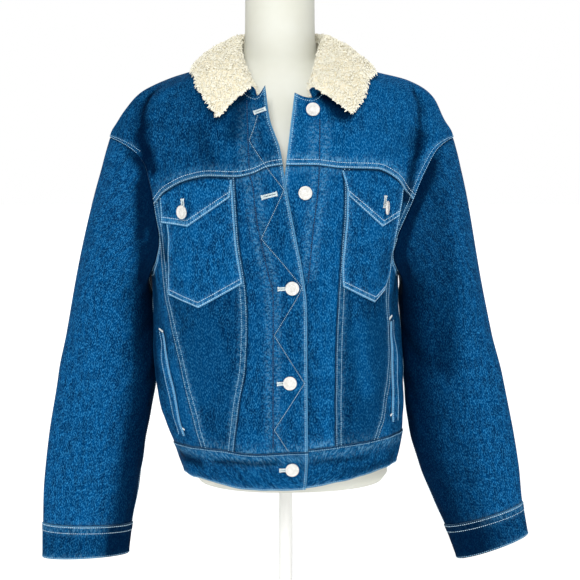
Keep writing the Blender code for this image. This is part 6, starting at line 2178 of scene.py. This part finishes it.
@dataclass
class Studio:
    """Soft daylight on a plain pale floor, and the camera."""

    lens: float = 89.4
    sensor: float = 36.0
    camera_at: tuple[float, float, float] = (0.0062, -1.98334, 0.77759)
    camera_pitch: float = 82.6
    ambient: float = 0.18
    floor_half: float = 9.0
    floor_glow: float = 0.72
    floor_bounce: float = 0.75
    # Soft lamps as (name, the way to it, its width in degrees, strength)
    suns: tuple = (("window", (-0.25, -1.35, 1.05), 35.0, 2.5), ("fill", (0.6, -1.7, 0.3), 60.0, 0.6),
        ("behind", (0.3, 1.5, 1.0), 60.0, 1.3))

    def build(self) -> None:
        """Makes the floor, world, lights and camera."""
        scene = bpy.context.scene
        scene.view_settings.view_transform = "Standard"
        corners = [(x * self.floor_half, y * self.floor_half, 0) for x, y in ((-1, -1), (1, -1), (1, 1), (-1, 1))]
        mesh = bpy.data.meshes.new("floor")
        mesh.from_pydata(corners, [], [(0, 1, 2, 3)])
        floor = bpy.data.objects.new("floor", mesh)
        material, tree = new_material("plain white floor", {"Base Color": (0.6, 0.6, 0.6, 1), "Roughness": 0.9,
            "Emission Color": (1, 1, 1, 1)})
        mesh.materials.append(material)
        scene.collection.objects.link(floor)
        world = bpy.data.worlds.new("studio")
        world.use_nodes = True
        scene.world = world
        background = world.node_tree.nodes["Background"]
        background.inputs["Color"].default_value = (1, 1, 1, 1)
        # Both look white but light the object no more than a grey studio would.
        for tree, socket, low, high in ((tree, tree.nodes["Principled BSDF"].inputs["Emission Strength"],
                self.floor_bounce, self.floor_glow), (world.node_tree, background.inputs["Strength"], self.ambient,
                1.0)):
            seen = add_node(tree, "ShaderNodeLightPath", {})
            strength = add_node(tree, "ShaderNodeMapRange", {"Value": seen.outputs["Is Camera Ray"], "To Min": low,
                "To Max": high})
            tree.links.new(strength.outputs[0], socket)
        for name, way, soft, power in self.suns:
            lamp = bpy.data.lights.new(name, "SUN")
            lamp.angle, lamp.energy = math.radians(soft), power
            light = bpy.data.objects.new(name, lamp)
            light.location = way
            light.rotation_euler = Vector(way).to_track_quat("Z", "Y").to_euler()
            scene.collection.objects.link(light)
        lens = bpy.data.cameras.new("camera")
        lens.lens, lens.sensor_width, lens.sensor_height = self.lens, self.sensor, self.sensor
        camera = bpy.data.objects.new("camera", lens)
        camera.location = self.camera_at
        camera.rotation_euler = (math.radians(self.camera_pitch), 0, 0)
        scene.collection.objects.link(camera)
        scene.camera = camera


def main() -> None:
    """Builds the whole scene in order."""
    logging.basicConfig(level=logging.INFO, format="%(name)s: %(message)s")
    denim = WashedDenim().material()
    pile = SherpaPile("cream sherpa curls", "#edeadb", "#e4dfca", 0.1, 6.0).material()
    ground = SherpaPile("sherpa ground", "#e8e1cb", "#d3c9aa", 0.4).material()
    thread = Coating("pale core-spun thread", "#cce4f0", "#93bbd6", 1.5, 0.75).material()
    washed = Coating("thread washed blue", "#a8d0e6", "#6fa9cf", 1.5, 0.8).material()
    worn_blue = Coating("rubbed indigo thread", "#2f75a6", "#1a5a8c", 1.5, 0.9).material()
    # Painted shade: dark indigo for the rows laid under the placket's pale stitches
    indigo = Coating("indigo core-spun thread", "#00234f", "#001838", 1.5, 0.95).material()
    ivory = Coating("pale buttonhole thread", "#dde5e4", "#b9cad0", 2.0, 0.75).material()
    # Painted shade: the dark strip laid in each buttonhole's slit
    shade = Coating("shaded slit", "#1d3c5c", "#0c2747", 3.0, 0.95).material()
    resin = Coating("moulded ivory resin", "#dcdbd7", "#c9c7c1", 4.0, 0.4, coat=0.1).material()
    shell = Coating("painted glass fibre form", "#d9dad0", "#d2d2c5", 60.0, 0.6, 0.05).material()
    enamel = Coating("white stove enamel", "#f0f0ec", "#e7e7e3", 40.0, 0.35, coat=0.2).material()

    cloth = BodyCloth(BODY)
    cut = Cut(cloth)
    front = Front(cloth)
    body = JacketBody(cut)
    body_rows, pocket_rows, cuff_rows = (Stitching(f"{name}_stitches") for name in ("yoke", "pocket", "cuff"))
    faded_rows = Stitching("seam_stitches", pitch=2.9, length=2.0, width=0.95)
    left = Sleeve(LEFT, cut, LEFT_SLEEVE, LEFT_SLEEVE_FOLDS, 192.0, 144.0, LEFT_SLEEVE_PAINTED_SHADE, LEFT_SLEEVE_HOLLOW_SHADE)
    right = Sleeve(RIGHT, cut, RIGHT_SLEEVE, RIGHT_SLEEVE_FOLDS, 205.0, 157.0, RIGHT_SLEEVE_PAINTED_SHADE,
        RIGHT_SLEEVE_HOLLOW_SHADE)
    for part, pale_rows in ((body, body_rows), (PocketSet(body), pocket_rows), (left, cuff_rows), (right, cuff_rows)):
        for piece in part.pieces():
            piece.build(denim)
            pale_rows.follow(*piece.lines(False))
            faded_rows.follow(*piece.lines(True))
    placket = Placket(front)
    on_top, in_pits = 0.45, 0.2  # how far the rows lie over the cloth
    fine = Stitching("placket_stitches", 2.4, 1.3, 0.95, lines=placket.lines(on_top))
    zigzag = Stitching("placket_zigzag", 2.4, 1.9, 0.95, lines=[placket.zigzag(on_top)])
    # Painted shade: wider dark rows under the pale stitches, for the shadow in the grooves they draw into the cloth
    sunk = Stitching("placket_pits", 2.4, 3.0, 1.5, 0.3, lines=[*placket.lines(in_pits), placket.zigzag(in_pits)])
    for sewn, finish in ((body_rows, thread), (pocket_rows, thread), (cuff_rows, thread), (faded_rows, washed),
            (zigzag, washed), (fine, worn_blue), (sunk, indigo)):
        sewn.build(finish)
    CollarPair(cut).build(pile, ground, denim, thread)
    ButtonSet(cloth).build(resin)
    HandWork(front).build(ivory, shade)
    form = DressForm(Figure(FORM))
    form.build_shell(shell)
    form.build_stand(enamel)
    Studio().build()


if __name__ == "__main__":
    main()
